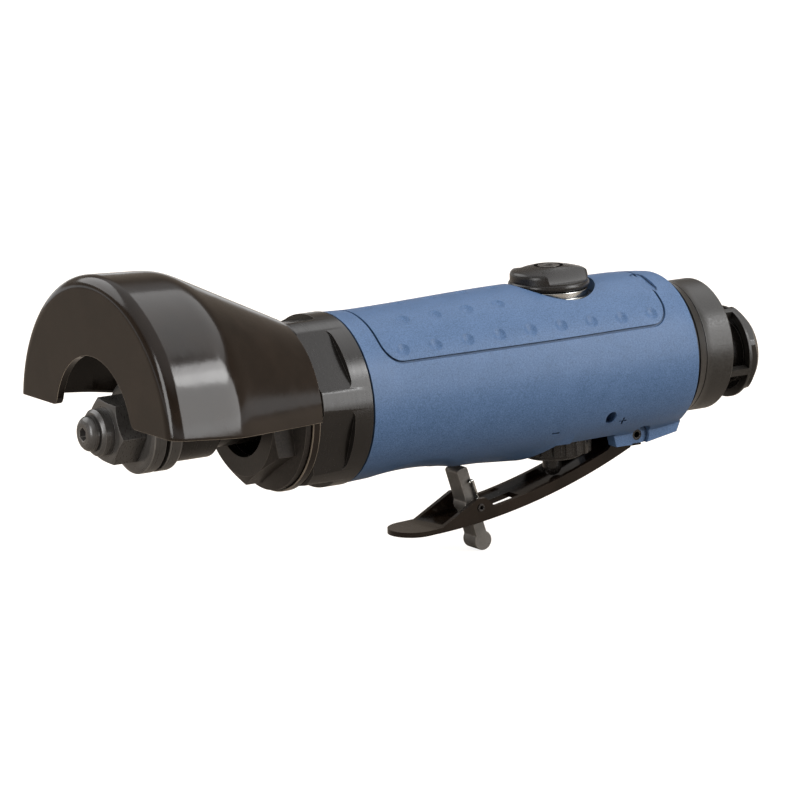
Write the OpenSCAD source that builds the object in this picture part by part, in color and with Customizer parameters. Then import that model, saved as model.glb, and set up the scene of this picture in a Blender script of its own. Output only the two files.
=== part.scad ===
// Pneumatic cut-off tool with a half-drum guard, lever throttle and reversing knob.
// X runs along the spindle with the wheel end towards -X, and Z is up.
// The origin is on the spindle axis, at the face of the inner flange that the wheel seats on.

/* [Wheel clamp] */
// Bore of the cutting wheels that the pilot centres
wheel_bore_d = 9.5; // [7:0.1:12]
// Room between the two flanges, where the wheel goes
wheel_gap = 1.2; // [0.8:0.1:3]
// Diameter of both clamping flanges
flange_d = 24.8; // [22:0.2:30]
// Thickness of the outer flange
outer_flange_t = 4.4; // [2.5:0.1:6]
// Thickness of the inner flange
inner_flange_t = 4.2; // [2.5:0.1:6]
// Width across the flats of the clamp nut
clamp_nut_af = 16; // [14:0.5:20]
// Length of the clamp nut's hexagon
clamp_nut_l = 7.6; // [4:0.2:12]
// Diameter of the round boss on the clamp nut
clamp_boss_d = 12.4; // [11:0.2:14]
// Length of that boss
clamp_boss_l = 3.4; // [1:0.1:5]
// Thread diameter of the wheel screw
wheel_screw_d = 5; // [4:0.5:6]
// Head diameter of the wheel screw
wheel_screw_head_d = 9.4; // [8:0.2:11]
// Head height of the wheel screw
wheel_screw_head_h = 2.9; // [2:0.1:4]
// Width across the flats of its socket
wheel_screw_socket = 3.2; // [2.5:0.1:4]

/* [Spindle] */
// Diameter of the arbor's thick part
arbor_d = 21.2; // [19:0.2:22]
// Length of the arbor's thick part
arbor_l = 11.8; // [8:0.2:16]
// Width across its two wrench flats
arbor_flats = 17; // [15:0.5:19]
// Diameter of the arbor's neck
neck_d = 17; // [15:0.2:18]
// Diameter of the rotor's front shaft and of the front bearing's bore
front_shaft_d = 12; // [10:0.5:13]
// Diameter of the rotor's rear shaft and of the rear bearing's bore
rear_shaft_d = 10; // [8:0.5:11]

/* [Guard] */
// Outer diameter of the guard's drum
guard_d = 82.4; // [78:0.2:92]
// Wall of the guard
guard_wall = 2; // [1.5:0.1:3]
// How far the guard's front plate stands ahead of the wheel seat
guard_nose = 16.1; // [14.5:0.1:20]
// Length of the guard from front plate to rear face
guard_l = 55.3; // [50:0.1:60]
// Length of the guard's drum, from front plate to where it starts to taper
guard_drum_l = 19.3; // [16:0.1:30]
// Radius of the rounded front edge
guard_edge_r = 3.6; // [2.5:0.1:5]
// Diameter of the arch cut in the front plate
guard_arch_d = 40.4; // [34:0.2:46]
// Diameter of the guard's shell where it meets the collar
guard_rear_d = 47.4; // [46:0.2:50]
// Diameter of the guard's rear ring
guard_ring_d = 45.6; // [44:0.2:46]
// Thickness of the guard's rear ring
guard_ring_t = 2.4; // [1.5:0.1:4]
// Height of the guard's lower edge above the axis at the front
guard_foot_front = 4.3; // [2:0.1:6]
// Height of the guard's lower edge above the axis at the rear
guard_foot_rear = -0.8; // [-3:0.1:2]

/* [Guard nut] */
// Width across the flats of the guard nut
guard_nut_af = 35; // [33:0.5:37]
// Length of the guard nut over its flange
guard_nut_l = 8.9; // [7:0.1:11]
// Diameter of the guard nut's flange
guard_nut_flange_d = 44.2; // [42:0.2:46]
// Thickness of the guard nut's flange at the rim
guard_nut_flange_t = 1.6; // [1:0.1:2.5]
// Diameter of the hole in the guard nut's front wall
guard_nut_hole_d = 24.6; // [22:0.2:26]
// Thickness of the guard nut's front wall
guard_nut_wall = 2.3; // [1.5:0.1:3]

/* [Front collar] */
// Diameter of the front collar
collar_d = 46.8; // [45:0.2:48]
// Length of the front collar
collar_l = 15.8; // [13:0.1:20]
// Length of the full round band at its rear
collar_band_l = 5.6; // [3:0.1:8]
// Width across the flats of its wrench pockets
collar_flats = 43.2; // [42:0.1:44.5]
// Rear corner radius of the wrench pockets
pocket_corner_r = 2.6; // [1:0.1:4]
// Diameter of the threaded nose that carries the guard
nose_d = 31; // [29:0.2:32]

/* [Bearings] */
// Outer diameter of the front bearing
front_bearing_d = 28; // [26:0.5:29]
// Outer diameter of the rear bearing
rear_bearing_d = 26; // [24:0.5:27]
// Width of both bearings
bearing_w = 8; // [7:0.5:9]
// Diameter of the bearing balls
ball_d = 4.76; // [4:0.01:5]
// Balls in each bearing
balls = 8; // [6:1:9]

/* [Motor] */
// Outer diameter of the motor cylinder
cylinder_d = 36.6; // [35:0.2:38]
// Bore of the motor cylinder
cylinder_bore_d = 30; // [28:0.2:31]
// Height of that bore's centre above the spindle axis
cylinder_offset = 1.3; // [1:0.1:1.5]
// Length of the motor cylinder
cylinder_l = 42; // [38:0.5:44]
// Thickness of the end plates
end_plate_t = 5; // [4:0.1:6]
// Diameter of the rotor
rotor_d = 26.6; // [24:0.2:26.8]
// Thickness of the vanes
vane_t = 2; // [1.5:0.1:3]
// Depth of the vane slots
vane_depth = 5; // [4:0.1:5.5]
// Number of vanes
vanes = 5; // [4:1:6]

/* [Grip] */
// Length of the grip
grip_l = 108; // [104:0.5:116]
// Diameter of the grip at its front edge
grip_front_d = 46.4; // [45:0.1:48]
// Diameter of the grip at its waist behind the collar
grip_waist_d = 45.6; // [44:0.1:47]
// Diameter of the grip at its fullest
grip_full_d = 47.6; // [46:0.1:50]
// Diameter of the grip at its rear edge
grip_rear_d = 43.8; // [42.5:0.1:45]
// How far the finger scoop's deepest line is below the axis
scoop_z = 21.75; // [21.2:0.05:22.5]
// Distance of that line behind the grip's front edge
scoop_at = 20; // [16:0.5:26]
// Radius of the scoop along the grip
scoop_r = 85; // [70:1:110]
// How far the belly ahead of the regulator hangs below the axis
belly_z = 25.6; // [24.5:0.1:27]
// Width of the lower block that holds the lever
block_w = 23; // [21:0.2:26]
// How far the hinge lugs hang below the axis
lug_z = 23.2; // [22.5:0.1:25]
// Width of the panel groove
groove_w = 0.7; // [0.4:0.1:1.2]
// Depth of the panel groove
groove_depth = 0.6; // [0.3:0.1:1]
// Height of the panel's straight lower edge above the axis
panel_z = 10.9; // [8:0.1:14]
// Radius of the panel's corners
panel_corner_r = 6; // [3:0.1:9]
// Pitch of the grip dimples along the panel
dimple_pitch = 10.1; // [8:0.1:12]
// Diameter of a dimple at the surface
dimple_d = 4; // [2:0.1:5]
// Depth of a dimple
dimple_depth = 0.6; // [0.3:0.05:1]
// Distance of the plus and minus marks from the valve axis
mark_at = 11.3; // [9:0.1:12]
// Turn of the marks down from the grip's side
mark_turn = 38.5; // [30:0.5:42]
// Length of a mark's bars
mark_l = 2.6; // [1.6:0.1:3.2]
// Width of a mark's bars
mark_w = 0.6; // [0.4:0.05:0.9]
// Depth of the marks
mark_depth = 0.45; // [0.3:0.05:0.8]
// Distance of the oval recess ahead of the grip's rear edge
badge_at = 9.4; // [7:0.1:14]
// Turn of the recess from the grip's side to its top
badge_turn = 70; // [50:1:90]
// Length of the recess round the grip
badge_l = 10.4; // [6:0.1:14]
// Width of the recess
badge_w = 4.4; // [3:0.1:6]
// Depth of the recess at its middle
badge_depth = 0.9; // [0.7:0.05:1.2]

/* [Selector] */
// Distance of the valve axis behind the grip's front edge
valve_at = 72.4; // [71.5:0.1:75]
// Diameter of the selector knob
selector_d = 22.4; // [20:0.2:25]
// Height of the selector knob
selector_h = 6.3; // [5:0.1:8]
// Height of the round base below the knob's finger scoops
selector_base_h = 2; // [1.8:0.1:2.6]
// Width of the bar between the finger scoops
selector_bar_w = 10.5; // [9:0.1:14]
// How far the thin lip round the knob's foot stands out
selector_lip = 0.5; // [0.3:0.1:1]
// Height of that lip
selector_lip_h = 1.7; // [1:0.1:1.75]
// Diameter of the screw's recess in the knob's top
selector_recess_d = 8.2; // [6.5:0.1:9]
// Depth of that recess
selector_recess_h = 2.2; // [2:0.1:3]
// Thread diameter of the knob's screw
selector_screw_d = 3; // [2.5:0.5:4]
// Head diameter of the knob's screw
selector_screw_head_d = 6; // [5:0.1:6.4]
// Height of the selector seat's top above the axis
seat_z = 19.6; // [18.5:0.1:20.5]
// Thickness of the selector seat
seat_t = 2; // [1.2:0.1:2.5]
// Height of the bright step on the seat that carries the knob
seat_step_h = 2.1; // [1:0.1:3]
// Diameter of the selector spool
spool_d = 12; // [10:0.2:13]

/* [Throttle] */
// Diameter of the valve stem
stem_d = 5.3; // [4.5:0.1:6]
// Diameter of the valve head
valve_head_d = 9; // [8:0.1:10]
// Diameter of the valve bushing
bushing_d = 15; // [13:0.2:15.4]
// Diameter of the regulator knob
regulator_d = 22; // [20:0.2:23]
// Height of the regulator knob
regulator_h = 4.4; // [3.5:0.1:5]
// Flutes round the regulator knob
regulator_flutes = 20; // [12:1:28]
// Height of the regulator bay's roof below the axis
bay_z = 19.3; // [18.5:0.1:20]

/* [Lever] */
// Distance of the lever's hinge behind the valve axis
hinge_at = 21.5; // [20:0.1:24]
// Height of the lever's hinge below the axis
hinge_z = 20.9; // [20:0.1:21.5]
// Width of the lever
lever_w = 14.4; // [13:0.1:15]
// Sheet thickness of the lever
lever_t = 1.4; // [1:0.1:2]
// Height of the lever's side walls
lever_wall_h = 3.2; // [2.5:0.1:3.4]
// Radius of the lever's long curve
lever_curve_r = 180; // [160:1:220]
// Distance of the lever's lowest point ahead of the hinge
lever_low_at = 73.5; // [68:0.5:78]
// How far the lever's lowest point is below the axis
lever_low_z = 40.6; // [39:0.1:42]
// Diameter of the lever's hinge pin
lever_pin_d = 3; // [2.5:0.1:3.5]

/* [Safety lock] */
// Distance of the lock's pin ahead of the lever's hinge
lock_at = 50; // [46:0.5:54]
// Height of the lock's pin below the axis
lock_z = 35; // [34:0.1:36]
// Thickness of the lock arm along its pin
lock_t = 6.2; // [4:0.1:7]
// Width of the lock arm
lock_w = 3.6; // [3.4:0.1:5]
// Length of the arm from its pin to its upper end
lock_up = 11.1; // [8:0.1:11.4]
// Length of the arm from its pin to its lower end
lock_down = 13.6; // [10:0.1:16]
// Radius of the lock's rounded paddle
paddle_r = 2.7; // [2.2:0.1:3.5]
// Lean of the arm from upright
lock_lean = 17.5; // [10:0.5:22]
// Diameter of the lock's pin
lock_pin_d = 2; // [1.6:0.1:2.4]
// Wire diameter of the lock's spring
spring_wire_d = 0.8; // [0.6:0.1:0.9]

/* [Rear end] */
// Length of the rear cap
cap_l = 13.7; // [12:0.1:18]
// Diameter of the rear cap at its flared front
cap_front_d = 42.4; // [41:0.1:43]
// Diameter of the rear cap behind the flare
cap_rear_d = 36.8; // [35:0.1:39]
// Length of the flare
cap_flare_l = 7; // [4:0.1:9]
// Depth of the dark step between the grip and the cap
cap_step = 1; // [0.4:0.1:1.5]
// Length of that step
cap_step_l = 0.6; // [0.4:0.1:1.2]
// Distance of the fine line round the flare behind the grip
cap_line_at = 3.8; // [2:0.1:5]
// Width and depth of that line
cap_line_w = 0.3; // [0.2:0.05:0.5]
// Wall of the rear cap
cap_wall = 2.2; // [1.5:0.1:3]
// How far the inlet's axis lies below the spindle axis
inlet_drop = 3.5; // [2.5:0.1:4]
// Diameter of the exhaust cage
cage_d = 25.8; // [24:0.2:28]
// Length of the exhaust cage
cage_l = 10.2; // [8:0.1:14]
// Thickness of the cage's base
cage_base_t = 1.6; // [1:0.1:3]
// Thickness of the cage's end ring
cage_ring_t = 0.9; // [0.6:0.1:2]
// Thickness of the cage's ribs and end ring, inwards
cage_wall = 2.2; // [1.5:0.1:3]
// Number of ribs
cage_ribs = 4; // [3:1:6]
// Width of a rib
cage_rib_w = 2; // [1.2:0.1:3]
// Outer diameter of the inlet tube
inlet_tube_d = 17.6; // [16.5:0.1:19]
// Wall between the throttle valve's bushing and the inlet tube's end
inlet_land = 6.1; // [5:0.1:9]
// Width across the flats of the inlet's hexagon
inlet_af = 23; // [21:0.1:26]
// Thickness of the inlet's hexagon
inlet_hex_t = 4.1; // [3:0.1:7]
// Bore of the inlet's thread
inlet_bore_d = 11.4; // [10:0.1:12]
// Depth of the inlet's thread
inlet_bore_l = 14; // [10:0.5:18]

/* [Fits] */
// Gap between faces of pieces that turn against each other
face_gap = 0.3; // [0.2:0.05:0.5]
// Radial clearance of a running fit
running = 0.06; // [0.03:0.01:0.09]
// Radial clearance of a seated fit inside one assembly
seated = 0.03; // [0.02:0.01:0.05]

/* [Hidden] */
$fn = 64;
over = 1;

// Places along the tool's axis, from the wheel seat
outer_flange_x = -wheel_gap - outer_flange_t;
clamp_nut_x = outer_flange_x - clamp_nut_l;
clamp_boss_x = clamp_nut_x - clamp_boss_l;
guard_x = -guard_nose;
ring_x1 = guard_x + guard_l;
ring_x0 = ring_x1 - guard_ring_t;
nut_x1 = ring_x0 - face_gap / 2;
nut_x0 = nut_x1 - guard_nut_l;
nose_x = nut_x0 + guard_nut_wall + face_gap;
collar_x0 = ring_x1 + face_gap / 2;
collar_x1 = collar_x0 + collar_l;
shaft_x = inner_flange_t + 13;
front_bearing_x1 = collar_x1 - 3.1;
front_bearing_x0 = front_bearing_x1 - bearing_w;
front_plate_x = collar_x1 + 0.2;
cylinder_x0 = front_plate_x + end_plate_t;
cylinder_x1 = cylinder_x0 + cylinder_l;
rear_plate_x1 = cylinder_x1 + end_plate_t;
rear_bearing_x1 = rear_plate_x1 + bearing_w;
cup_x1 = rear_bearing_x1 + 0.6;
valve_x = collar_x1 + valve_at;
hinge_x = valve_x + hinge_at;
grip_x1 = collar_x1 + grip_l;
cap_x1 = grip_x1 + cap_l;
inlet_hex_x = cap_x1 + cage_l;
inlet_x1 = inlet_hex_x + inlet_hex_t;

// Radii and diameters that fit something else
pilot_d = wheel_bore_d - 0.1;
screw_hole_d = wheel_screw_d + 2 * seated;
nose_bore_d = guard_nut_hole_d - 0.3;
guard_bore_d = nose_d + 2 * running;
rotor_gap = 0.25;
cup_d = rear_bearing_d + 5;
inlet_tube_x = valve_x + bushing_d / 2 + inlet_land;
inlet_passage_d = 8;
silencer_d = cap_rear_d - 2 * cap_wall - 0.6;

// Throttle valve heights
bushing_top = -9.4;
regulator_top = -bay_z - face_gap;
regulator_bottom = regulator_top - regulator_h;
clip_t = 0.9;
bushing_bottom = regulator_bottom - clip_t - 0.7;
valve_head_h = 2.4;
valve_head_z = bushing_top + face_gap;
spring_z0 = valve_head_z + valve_head_h + 0.1;
spring_z1 = 2.8;
spool_bottom = 4.4;

// Lever curve
lever_low_x = hinge_x - lever_low_at;
lever_centre_z = lever_curve_r - lever_low_z;
lock_x = hinge_x - lock_at;
slot_w = lock_t + 0.8;
hinge_boss_r = lever_pin_d / 2 + 2;
lug_gap = 0.6;
lug_slot_w = lever_w + 2 * lug_gap;
lever_inner_w = lever_w - 2 * lever_t;

// Height of the lever's curve at x, for a layer that lies t above its underside
function lever_curve(x, t = 0) =
    lever_centre_z - sqrt(pow(lever_curve_r - t, 2) - pow(x - lever_low_x, 2));

// Round bar along X
module bar(x0, x1, d, y = 0, z = 0) {
    translate([x0, y, z])
        rotate([0, 90, 0])
            cylinder(h = x1 - x0, d = d);
}

// Hexagon bar along X, a corner down at turn 0
module hex_bar(x0, x1, af, turn = 0, z = 0) {
    translate([x0, 0, z])
        rotate([turn, 0, 0])
            rotate([0, 90, 0])
                cylinder(h = x1 - x0, r = af / 2 / cos(30), $fn = 6);
}

// Revolves a profile of [radius, x] points about the tool's axis
module turned(points) {
    rotate([0, 90, 0])
        rotate_extrude()
            polygon(points);
}

// Extrudes an outline drawn in X and Z from y0 to y1
module slab(y0, y1) {
    translate([0, y1, 0])
        rotate([90, 0, 0])
            linear_extrude(y1 - y0)
                children();
}

// Chamfers both ends of a hexagon that lies between x0 and x1
module hex_chamfer(x0, x1, af) {
    corner = af / 2 / cos(30);
    rise = (corner - af / 2) * 0.6;
    turned([
        [0, x0], [af / 2 - 0.1, x0], [corner + 0.2, x0 + rise],
        [corner + 0.2, x1], [0, x1]
    ]);
}

module wheel_screw() {
    head_r = wheel_screw_head_d / 2;
    edge = wheel_screw_head_h * 0.7;
    shank_x1 = inner_flange_t + 10;
    color("#2b2a29")
        difference() {
            union() {
                translate([clamp_boss_x - wheel_screw_head_h, 0, 0])
                    rotate([0, 90, 0])
                        rotate_extrude() {
                            square([head_r - edge, wheel_screw_head_h]);
                            translate([0, edge])
                                square([head_r, wheel_screw_head_h - edge]);
                            intersection() {
                                translate([head_r - edge, edge])
                                    circle(edge);
                                square([head_r, wheel_screw_head_h]);
                            }
                        }
                bar(clamp_boss_x - 0.5, shank_x1, wheel_screw_d);
            }
            hex_bar(clamp_boss_x - wheel_screw_head_h - over, clamp_boss_x - 0.8, wheel_screw_socket);
        }
}

module clamp_nut() {
    clamp_nut_turn = -23.5;
    color("#343231")
        difference() {
            union() {
                intersection() {
                    hex_bar(clamp_nut_x, outer_flange_x, clamp_nut_af, clamp_nut_turn);
                    hex_chamfer(clamp_nut_x, outer_flange_x, clamp_nut_af);
                }
                turned([
                    [0, clamp_boss_x], [clamp_boss_d / 2 - 0.8, clamp_boss_x],
                    [clamp_boss_d / 2, clamp_boss_x + 0.8], [clamp_boss_d / 2, clamp_nut_x + over],
                    [0, clamp_nut_x + over]
                ]);
            }
            bar(clamp_boss_x - over, outer_flange_x + over, screw_hole_d);
        }
}

module outer_flange() {
    edge = 0.8;
    color("#2e2c2b")
        difference() {
            turned([
                [0, outer_flange_x], [flange_d / 2 - 2 * edge, outer_flange_x],
                [flange_d / 2, outer_flange_x + edge], [flange_d / 2, -wheel_gap], [0, -wheel_gap]
            ]);
            bar(outer_flange_x - over, over, screw_hole_d);
            bar(-wheel_gap - 0.5, over, flange_d * 0.6);
        }
}

module inner_flange() {
    edge = 0.8;
    color("#2e2c2b")
        difference() {
            turned([
                [0, 0.2 - wheel_gap], [pilot_d / 2, 0.2 - wheel_gap], [pilot_d / 2, 0],
                [flange_d / 2, 0], [flange_d / 2, inner_flange_t - edge],
                [flange_d / 2 - edge, inner_flange_t], [0, inner_flange_t]
            ]);
            bar(-wheel_gap - over, inner_flange_t + over, screw_hole_d);
        }
}

module arbor() {
    x0 = inner_flange_t;
    x1 = x0 + arbor_l;
    slope = (arbor_d - neck_d) / 2;
    flat_x0 = x0 + 2;
    color("#3a3938")
        difference() {
            turned([
                [0, x0], [arbor_d / 2, x0], [arbor_d / 2, x1], [neck_d / 2, x1 + slope],
                [neck_d / 2, front_bearing_x0], [0, front_bearing_x0]
            ]);
            bar(x0 - over, front_bearing_x0, screw_hole_d);
            bar(shaft_x, front_bearing_x0 + over, front_shaft_d + 2 * seated);
            for (side = [-1, 1])
                rotate([-25, 0, 0])
                    translate([flat_x0, side * (arbor_flats / 2 + arbor_d / 2) - arbor_d / 2, -arbor_d / 2])
                        cube([arbor_l + slope - 1, arbor_d, arbor_d]);
        }
}

// Outside of the guard, or its inside when drawn in by the wall
module guard_form(inset) {
    r = guard_d / 2 - inset;
    edge = max(guard_edge_r - inset, 0.5);
    x0 = guard_x + inset;
    length = ring_x1 - x0;
    drum_l = guard_drum_l - inset;
    rear_r = guard_rear_d / 2 - inset;
    translate([x0, 0, 0])
        rotate([0, 90, 0])
            rotate_extrude()
                intersection() {
                    union() {
                        square([r - edge, length]);
                        translate([0, edge])
                            square([r, length - edge]);
                        translate([r - edge, edge])
                            circle(edge);
                    }
                    polygon([[0, 0], [r, 0], [r, drum_l], [rear_r, length], [0, length]]);
                }
}

module guard() {
    below = guard_d;
    color("#2a211b")
        difference() {
            union() {
                difference() {
                    guard_form(0);
                    intersection() {
                        guard_form(guard_wall);
                        bar(guard_x, ring_x0, guard_d);
                    }
                    slab(-guard_d, guard_d)
                        polygon([
                            [guard_x - over, guard_foot_front], [ring_x1 + over, guard_foot_rear],
                            [ring_x1 + over, -below], [guard_x - over, -below]
                        ]);
                    bar(guard_x - over, guard_x + guard_wall + over, guard_arch_d);
                }
                bar(ring_x0, ring_x1, guard_ring_d);
            }
            bar(ring_x0 - over, ring_x1 + over, guard_bore_d);
        }
}

module guard_nut() {
    flange_x0 = nut_x1 - guard_nut_flange_t;
    color("#3a3431")
        difference() {
            union() {
                intersection() {
                    hex_bar(nut_x0, flange_x0 + 0.5, guard_nut_af);
                    hex_chamfer(nut_x0, flange_x0 + 0.5, guard_nut_af);
                }
                turned([
                    [0, flange_x0 - 1.6], [guard_nut_af / 2, flange_x0 - 1.6],
                    [guard_nut_flange_d / 2, flange_x0], [guard_nut_flange_d / 2, nut_x1], [0, nut_x1]
                ]);
            }
            bar(nut_x0 - over, nut_x1, guard_nut_hole_d);
            bar(nut_x0 + guard_nut_wall, nut_x1 + over, nose_d + 2 * seated);
        }
}

// One wrench pocket, open to the front, with round rear corners
module wrench_pocket() {
    depth = 6;
    half = sqrt(pow(collar_d / 2, 2) - pow(collar_flats / 2, 2)) + 0.5;
    rear = collar_x1 - collar_band_l;
    translate([0, 0, collar_flats / 2])
        linear_extrude(depth) {
            translate([collar_x0 - over, -half])
                square([rear - pocket_corner_r - collar_x0 + over, 2 * half]);
            translate([rear - pocket_corner_r - over, pocket_corner_r - half])
                square([pocket_corner_r + over, 2 * (half - pocket_corner_r)]);
            for (side = [-1, 1])
                translate([rear - pocket_corner_r, side * (half - pocket_corner_r)])
                    circle(pocket_corner_r);
        }
}

module front_collar() {
    edge = 0.6;
    pocket_turn = 50;
    color("#2f2e2d")
        difference() {
            union() {
                turned([
                    [0, collar_x0], [collar_d / 2 - edge, collar_x0], [collar_d / 2, collar_x0 + edge],
                    [collar_d / 2, collar_x1], [0, collar_x1]
                ]);
                bar(nose_x, collar_x0 + over, nose_d);
            }
            bar(nose_x - over, front_bearing_x0 + over, nose_bore_d);
            bar(front_bearing_x0, collar_x1 + over, front_bearing_d);
            for (i = [0:5])
                rotate([pocket_turn + 60 * i, 0, 0])
                    wrench_pocket();
        }
}

// Race between two diameters, grooved for the balls
module race(x0, inner_d, outer_d, pitch_d) {
    groove_r = ball_d / 2 + 0.08;
    translate([x0, 0, 0])
        rotate([0, 90, 0])
            rotate_extrude()
                difference() {
                    translate([inner_d / 2, 0])
                        square([(outer_d - inner_d) / 2, bearing_w]);
                    translate([pitch_d / 2, bearing_w / 2])
                        circle(groove_r);
                }
}

// Balls of one bearing and the ring cage that spaces them
module ball_ring(x0, pitch_d) {
    mid = x0 + bearing_w / 2;
    cage_t = 1.2;
    cage_w = ball_d + 0.8;
    difference() {
        bar(mid - cage_w / 2, mid + cage_w / 2, pitch_d + cage_t);
        bar(mid - cage_w, mid + cage_w, pitch_d - cage_t);
        for (i = [0:balls - 1])
            rotate([360 / balls * i, 0, 0])
                translate([mid, 0, pitch_d / 2])
                    sphere(d = ball_d + 0.1);
    }
    for (i = [0:balls - 1])
        rotate([360 / balls * i, 0, 0])
            translate([mid, 0, pitch_d / 2])
                sphere(d = ball_d);
}

race_wall = 2.7;
front_pitch_d = (front_shaft_d + front_bearing_d) / 2;
rear_pitch_d = (rear_shaft_d + rear_bearing_d) / 2;

module front_bearing_outer() {
    color("#8d8f92")
        race(front_bearing_x0, front_bearing_d - 2 * race_wall, front_bearing_d, front_pitch_d);
}

module front_bearing_inner() {
    color("#8d8f92")
        race(front_bearing_x0, front_shaft_d, front_shaft_d + 2 * race_wall, front_pitch_d);
}

module front_bearing_balls() {
    color("#b0b2b5")
        ball_ring(front_bearing_x0, front_pitch_d);
}

module rear_bearing_outer() {
    color("#8d8f92")
        race(rear_plate_x1, rear_bearing_d - 2 * race_wall, rear_bearing_d, rear_pitch_d);
}

module rear_bearing_inner() {
    color("#8d8f92")
        race(rear_plate_x1, rear_shaft_d, rear_shaft_d + 2 * race_wall, rear_pitch_d);
}

module rear_bearing_balls() {
    color("#b0b2b5")
        ball_ring(rear_plate_x1, rear_pitch_d);
}

module front_end_plate() {
    color("#77797c")
        difference() {
            union() {
                bar(front_bearing_x1, front_plate_x + over, front_bearing_d - 2 * seated);
                bar(front_plate_x, cylinder_x0, cylinder_d);
            }
            bar(front_bearing_x1 - over, cylinder_x0 + over, front_shaft_d + 2 * race_wall + 0.8);
        }
}

module motor_cylinder() {
    port_d = 4;
    color("#8a8c8f")
        difference() {
            bar(cylinder_x0, cylinder_x1, cylinder_d);
            bar(cylinder_x0 - over, cylinder_x1 + over, cylinder_bore_d, 0, cylinder_offset);
            for (i = [1:3])
                translate([cylinder_x0 + i * cylinder_l / 4, 0, cylinder_offset])
                    cylinder(h = cylinder_d, d = port_d);
        }
}

module rear_end_plate() {
    color("#77797c")
        difference() {
            union() {
                bar(cylinder_x1, rear_plate_x1, cylinder_d);
                bar(rear_plate_x1 - over, cup_x1, cup_d);
            }
            bar(cylinder_x1 - over, rear_plate_x1 + over, rear_shaft_d + 2 * race_wall + 0.8);
            bar(rear_plate_x1, cup_x1 + over, rear_bearing_d);
        }
}

// Slots of the rotor, or the vanes that fill them
module vane_set(t, depth, x0, x1) {
    tip = rotor_d / 2 - 0.1;
    for (i = [0:vanes - 1])
        rotate([360 / vanes * i, 0, 0])
            translate([x0, -t / 2, tip - depth])
                cube([x1 - x0, t, depth]);
}

module rotor() {
    x0 = cylinder_x0 + rotor_gap;
    x1 = cylinder_x1 - rotor_gap;
    color("#6f7174")
        difference() {
            union() {
                bar(x0, x1, rotor_d);
                bar(shaft_x + 0.5, x0 + over, front_shaft_d);
                bar(x1 - over, rear_bearing_x1, rear_shaft_d);
            }
            vane_set(vane_t + 2 * seated, vane_depth + 1, x0 - over, x1 + over);
            bar(shaft_x, shaft_x + 2, 1);
        }
}

module rotor_vanes() {
    color("#5b3f2a")
        vane_set(vane_t, vane_depth, cylinder_x0 + rotor_gap, cylinder_x1 - rotor_gap);
}

// Radius of the grip at a share of its length: waist, full middle and drawn-in rear
function grip_r(share) =
    share < 0.08 ? mix(grip_front_d, grip_waist_d, smooth(share / 0.08)) / 2
    : share < 0.55 ? mix(grip_waist_d, grip_full_d, smooth((share - 0.08) / 0.47)) / 2
    : share < 0.85 ? mix(grip_full_d, grip_shoulder_d, smooth((share - 0.55) / 0.3)) / 2
    : mix(grip_shoulder_d, grip_rear_d, pow((share - 0.85) / 0.15, 2)) / 2;
function mix(a, b, t) = a + (b - a) * t;
function smooth(t) = t * t * (3 - 2 * t);
grip_shoulder_d = mix(grip_rear_d, grip_full_d, 0.6);
grip_steps = 24;

// Outside of the grip, drawn in by inset
module grip_form(inset = 0) {
    shares = [for (i = [0:grip_steps]) i / grip_steps];
    turned(concat(
        [[0, collar_x1]],
        [for (s = shares) [grip_r(s) - inset, collar_x1 + s * grip_l]],
        [[0, grip_x1]]
    ));
}

// Full belly under the fingers, ahead of the regulator
module grip_belly() {
    drop = 5;
    x0 = collar_x1 + scoop_at + 10;
    x1 = valve_x - 4;
    front_r = grip_waist_d / 2 - drop - 0.2;
    translate([x0, 0, -drop])
        rotate([0, 90, 0])
            cylinder(h = x1 - x0, r1 = front_r, r2 = belly_z - drop);
}

// Shallow saddle under the grip for the first finger
module finger_scoop() {
    hollow_r = grip_waist_d * 0.6;
    half = hollow_r * 0.66;
    translate([collar_x1 + scoop_at, 0, -scoop_z - scoop_r])
        rotate([90, 0, 0])
            rotate_extrude($fn = 240)
                difference() {
                    translate([0, -half])
                        square([scoop_r + hollow_r / 2, 2 * half]);
                    translate([scoop_r + hollow_r, 0])
                        circle(hollow_r, $fn = 120);
                }
}

bay_front = valve_x - 8.3;
bay_rear = hinge_x - 8.7;

// Lower block that holds the lever's hinge
module grip_block() {
    slab(-block_w / 2, block_w / 2)
        polygon([
            [bay_rear - 4, -10], [bay_rear - 2, -lug_z],
            [hinge_x + 2, -lug_z], [grip_x1 - 1.5, 1.8 - lug_z], [grip_x1, 5 - lug_z], [grip_x1, -10]
        ]);
}

// Open bay round the regulator knob and the lever's slot between the lugs
module grip_bay() {
    slab(-grip_full_d, grip_full_d)
        polygon([
            [bay_front, -bay_z], [bay_front - 13.4, -bay_z - 10], [bay_rear + 3, -bay_z - 10],
            [bay_rear + 0.6, -bay_z - 2.6], [bay_rear, -bay_z]
        ]);
    translate([valve_x, 0, -bay_z - 10])
        cylinder(h = 10, d = regulator_d + 1.4);
    slab(-lug_slot_w / 2, lug_slot_w / 2)
        translate([bay_rear - 6, -hinge_z - 12])
            square([hinge_x + 7 - bay_rear + 6, 12 + hinge_boss_r + 0.8]);
}

// Rounded panel outline in side view, drawn in by inset
module panel_outline(inset) {
    x0 = collar_x1 + 6.6 + inset;
    x1 = grip_x1 - 8.6 - inset;
    z0 = panel_z + inset;
    r = panel_corner_r - inset;
    top = grip_full_d;
    translate([x0, z0 + r])
        square([x1 - x0, top]);
    translate([x0 + r, z0])
        square([x1 - x0 - 2 * r, top]);
    for (x = [x0 + r, x1 - r])
        translate([x, z0 + r])
            circle(r);
}

// Thin groove round the panel, cut from the grip's skin
module panel_groove() {
    difference() {
        slab(-grip_full_d, grip_full_d)
            difference() {
                panel_outline(0);
                panel_outline(groove_w);
            }
        grip_form(groove_depth);
    }
}

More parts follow.
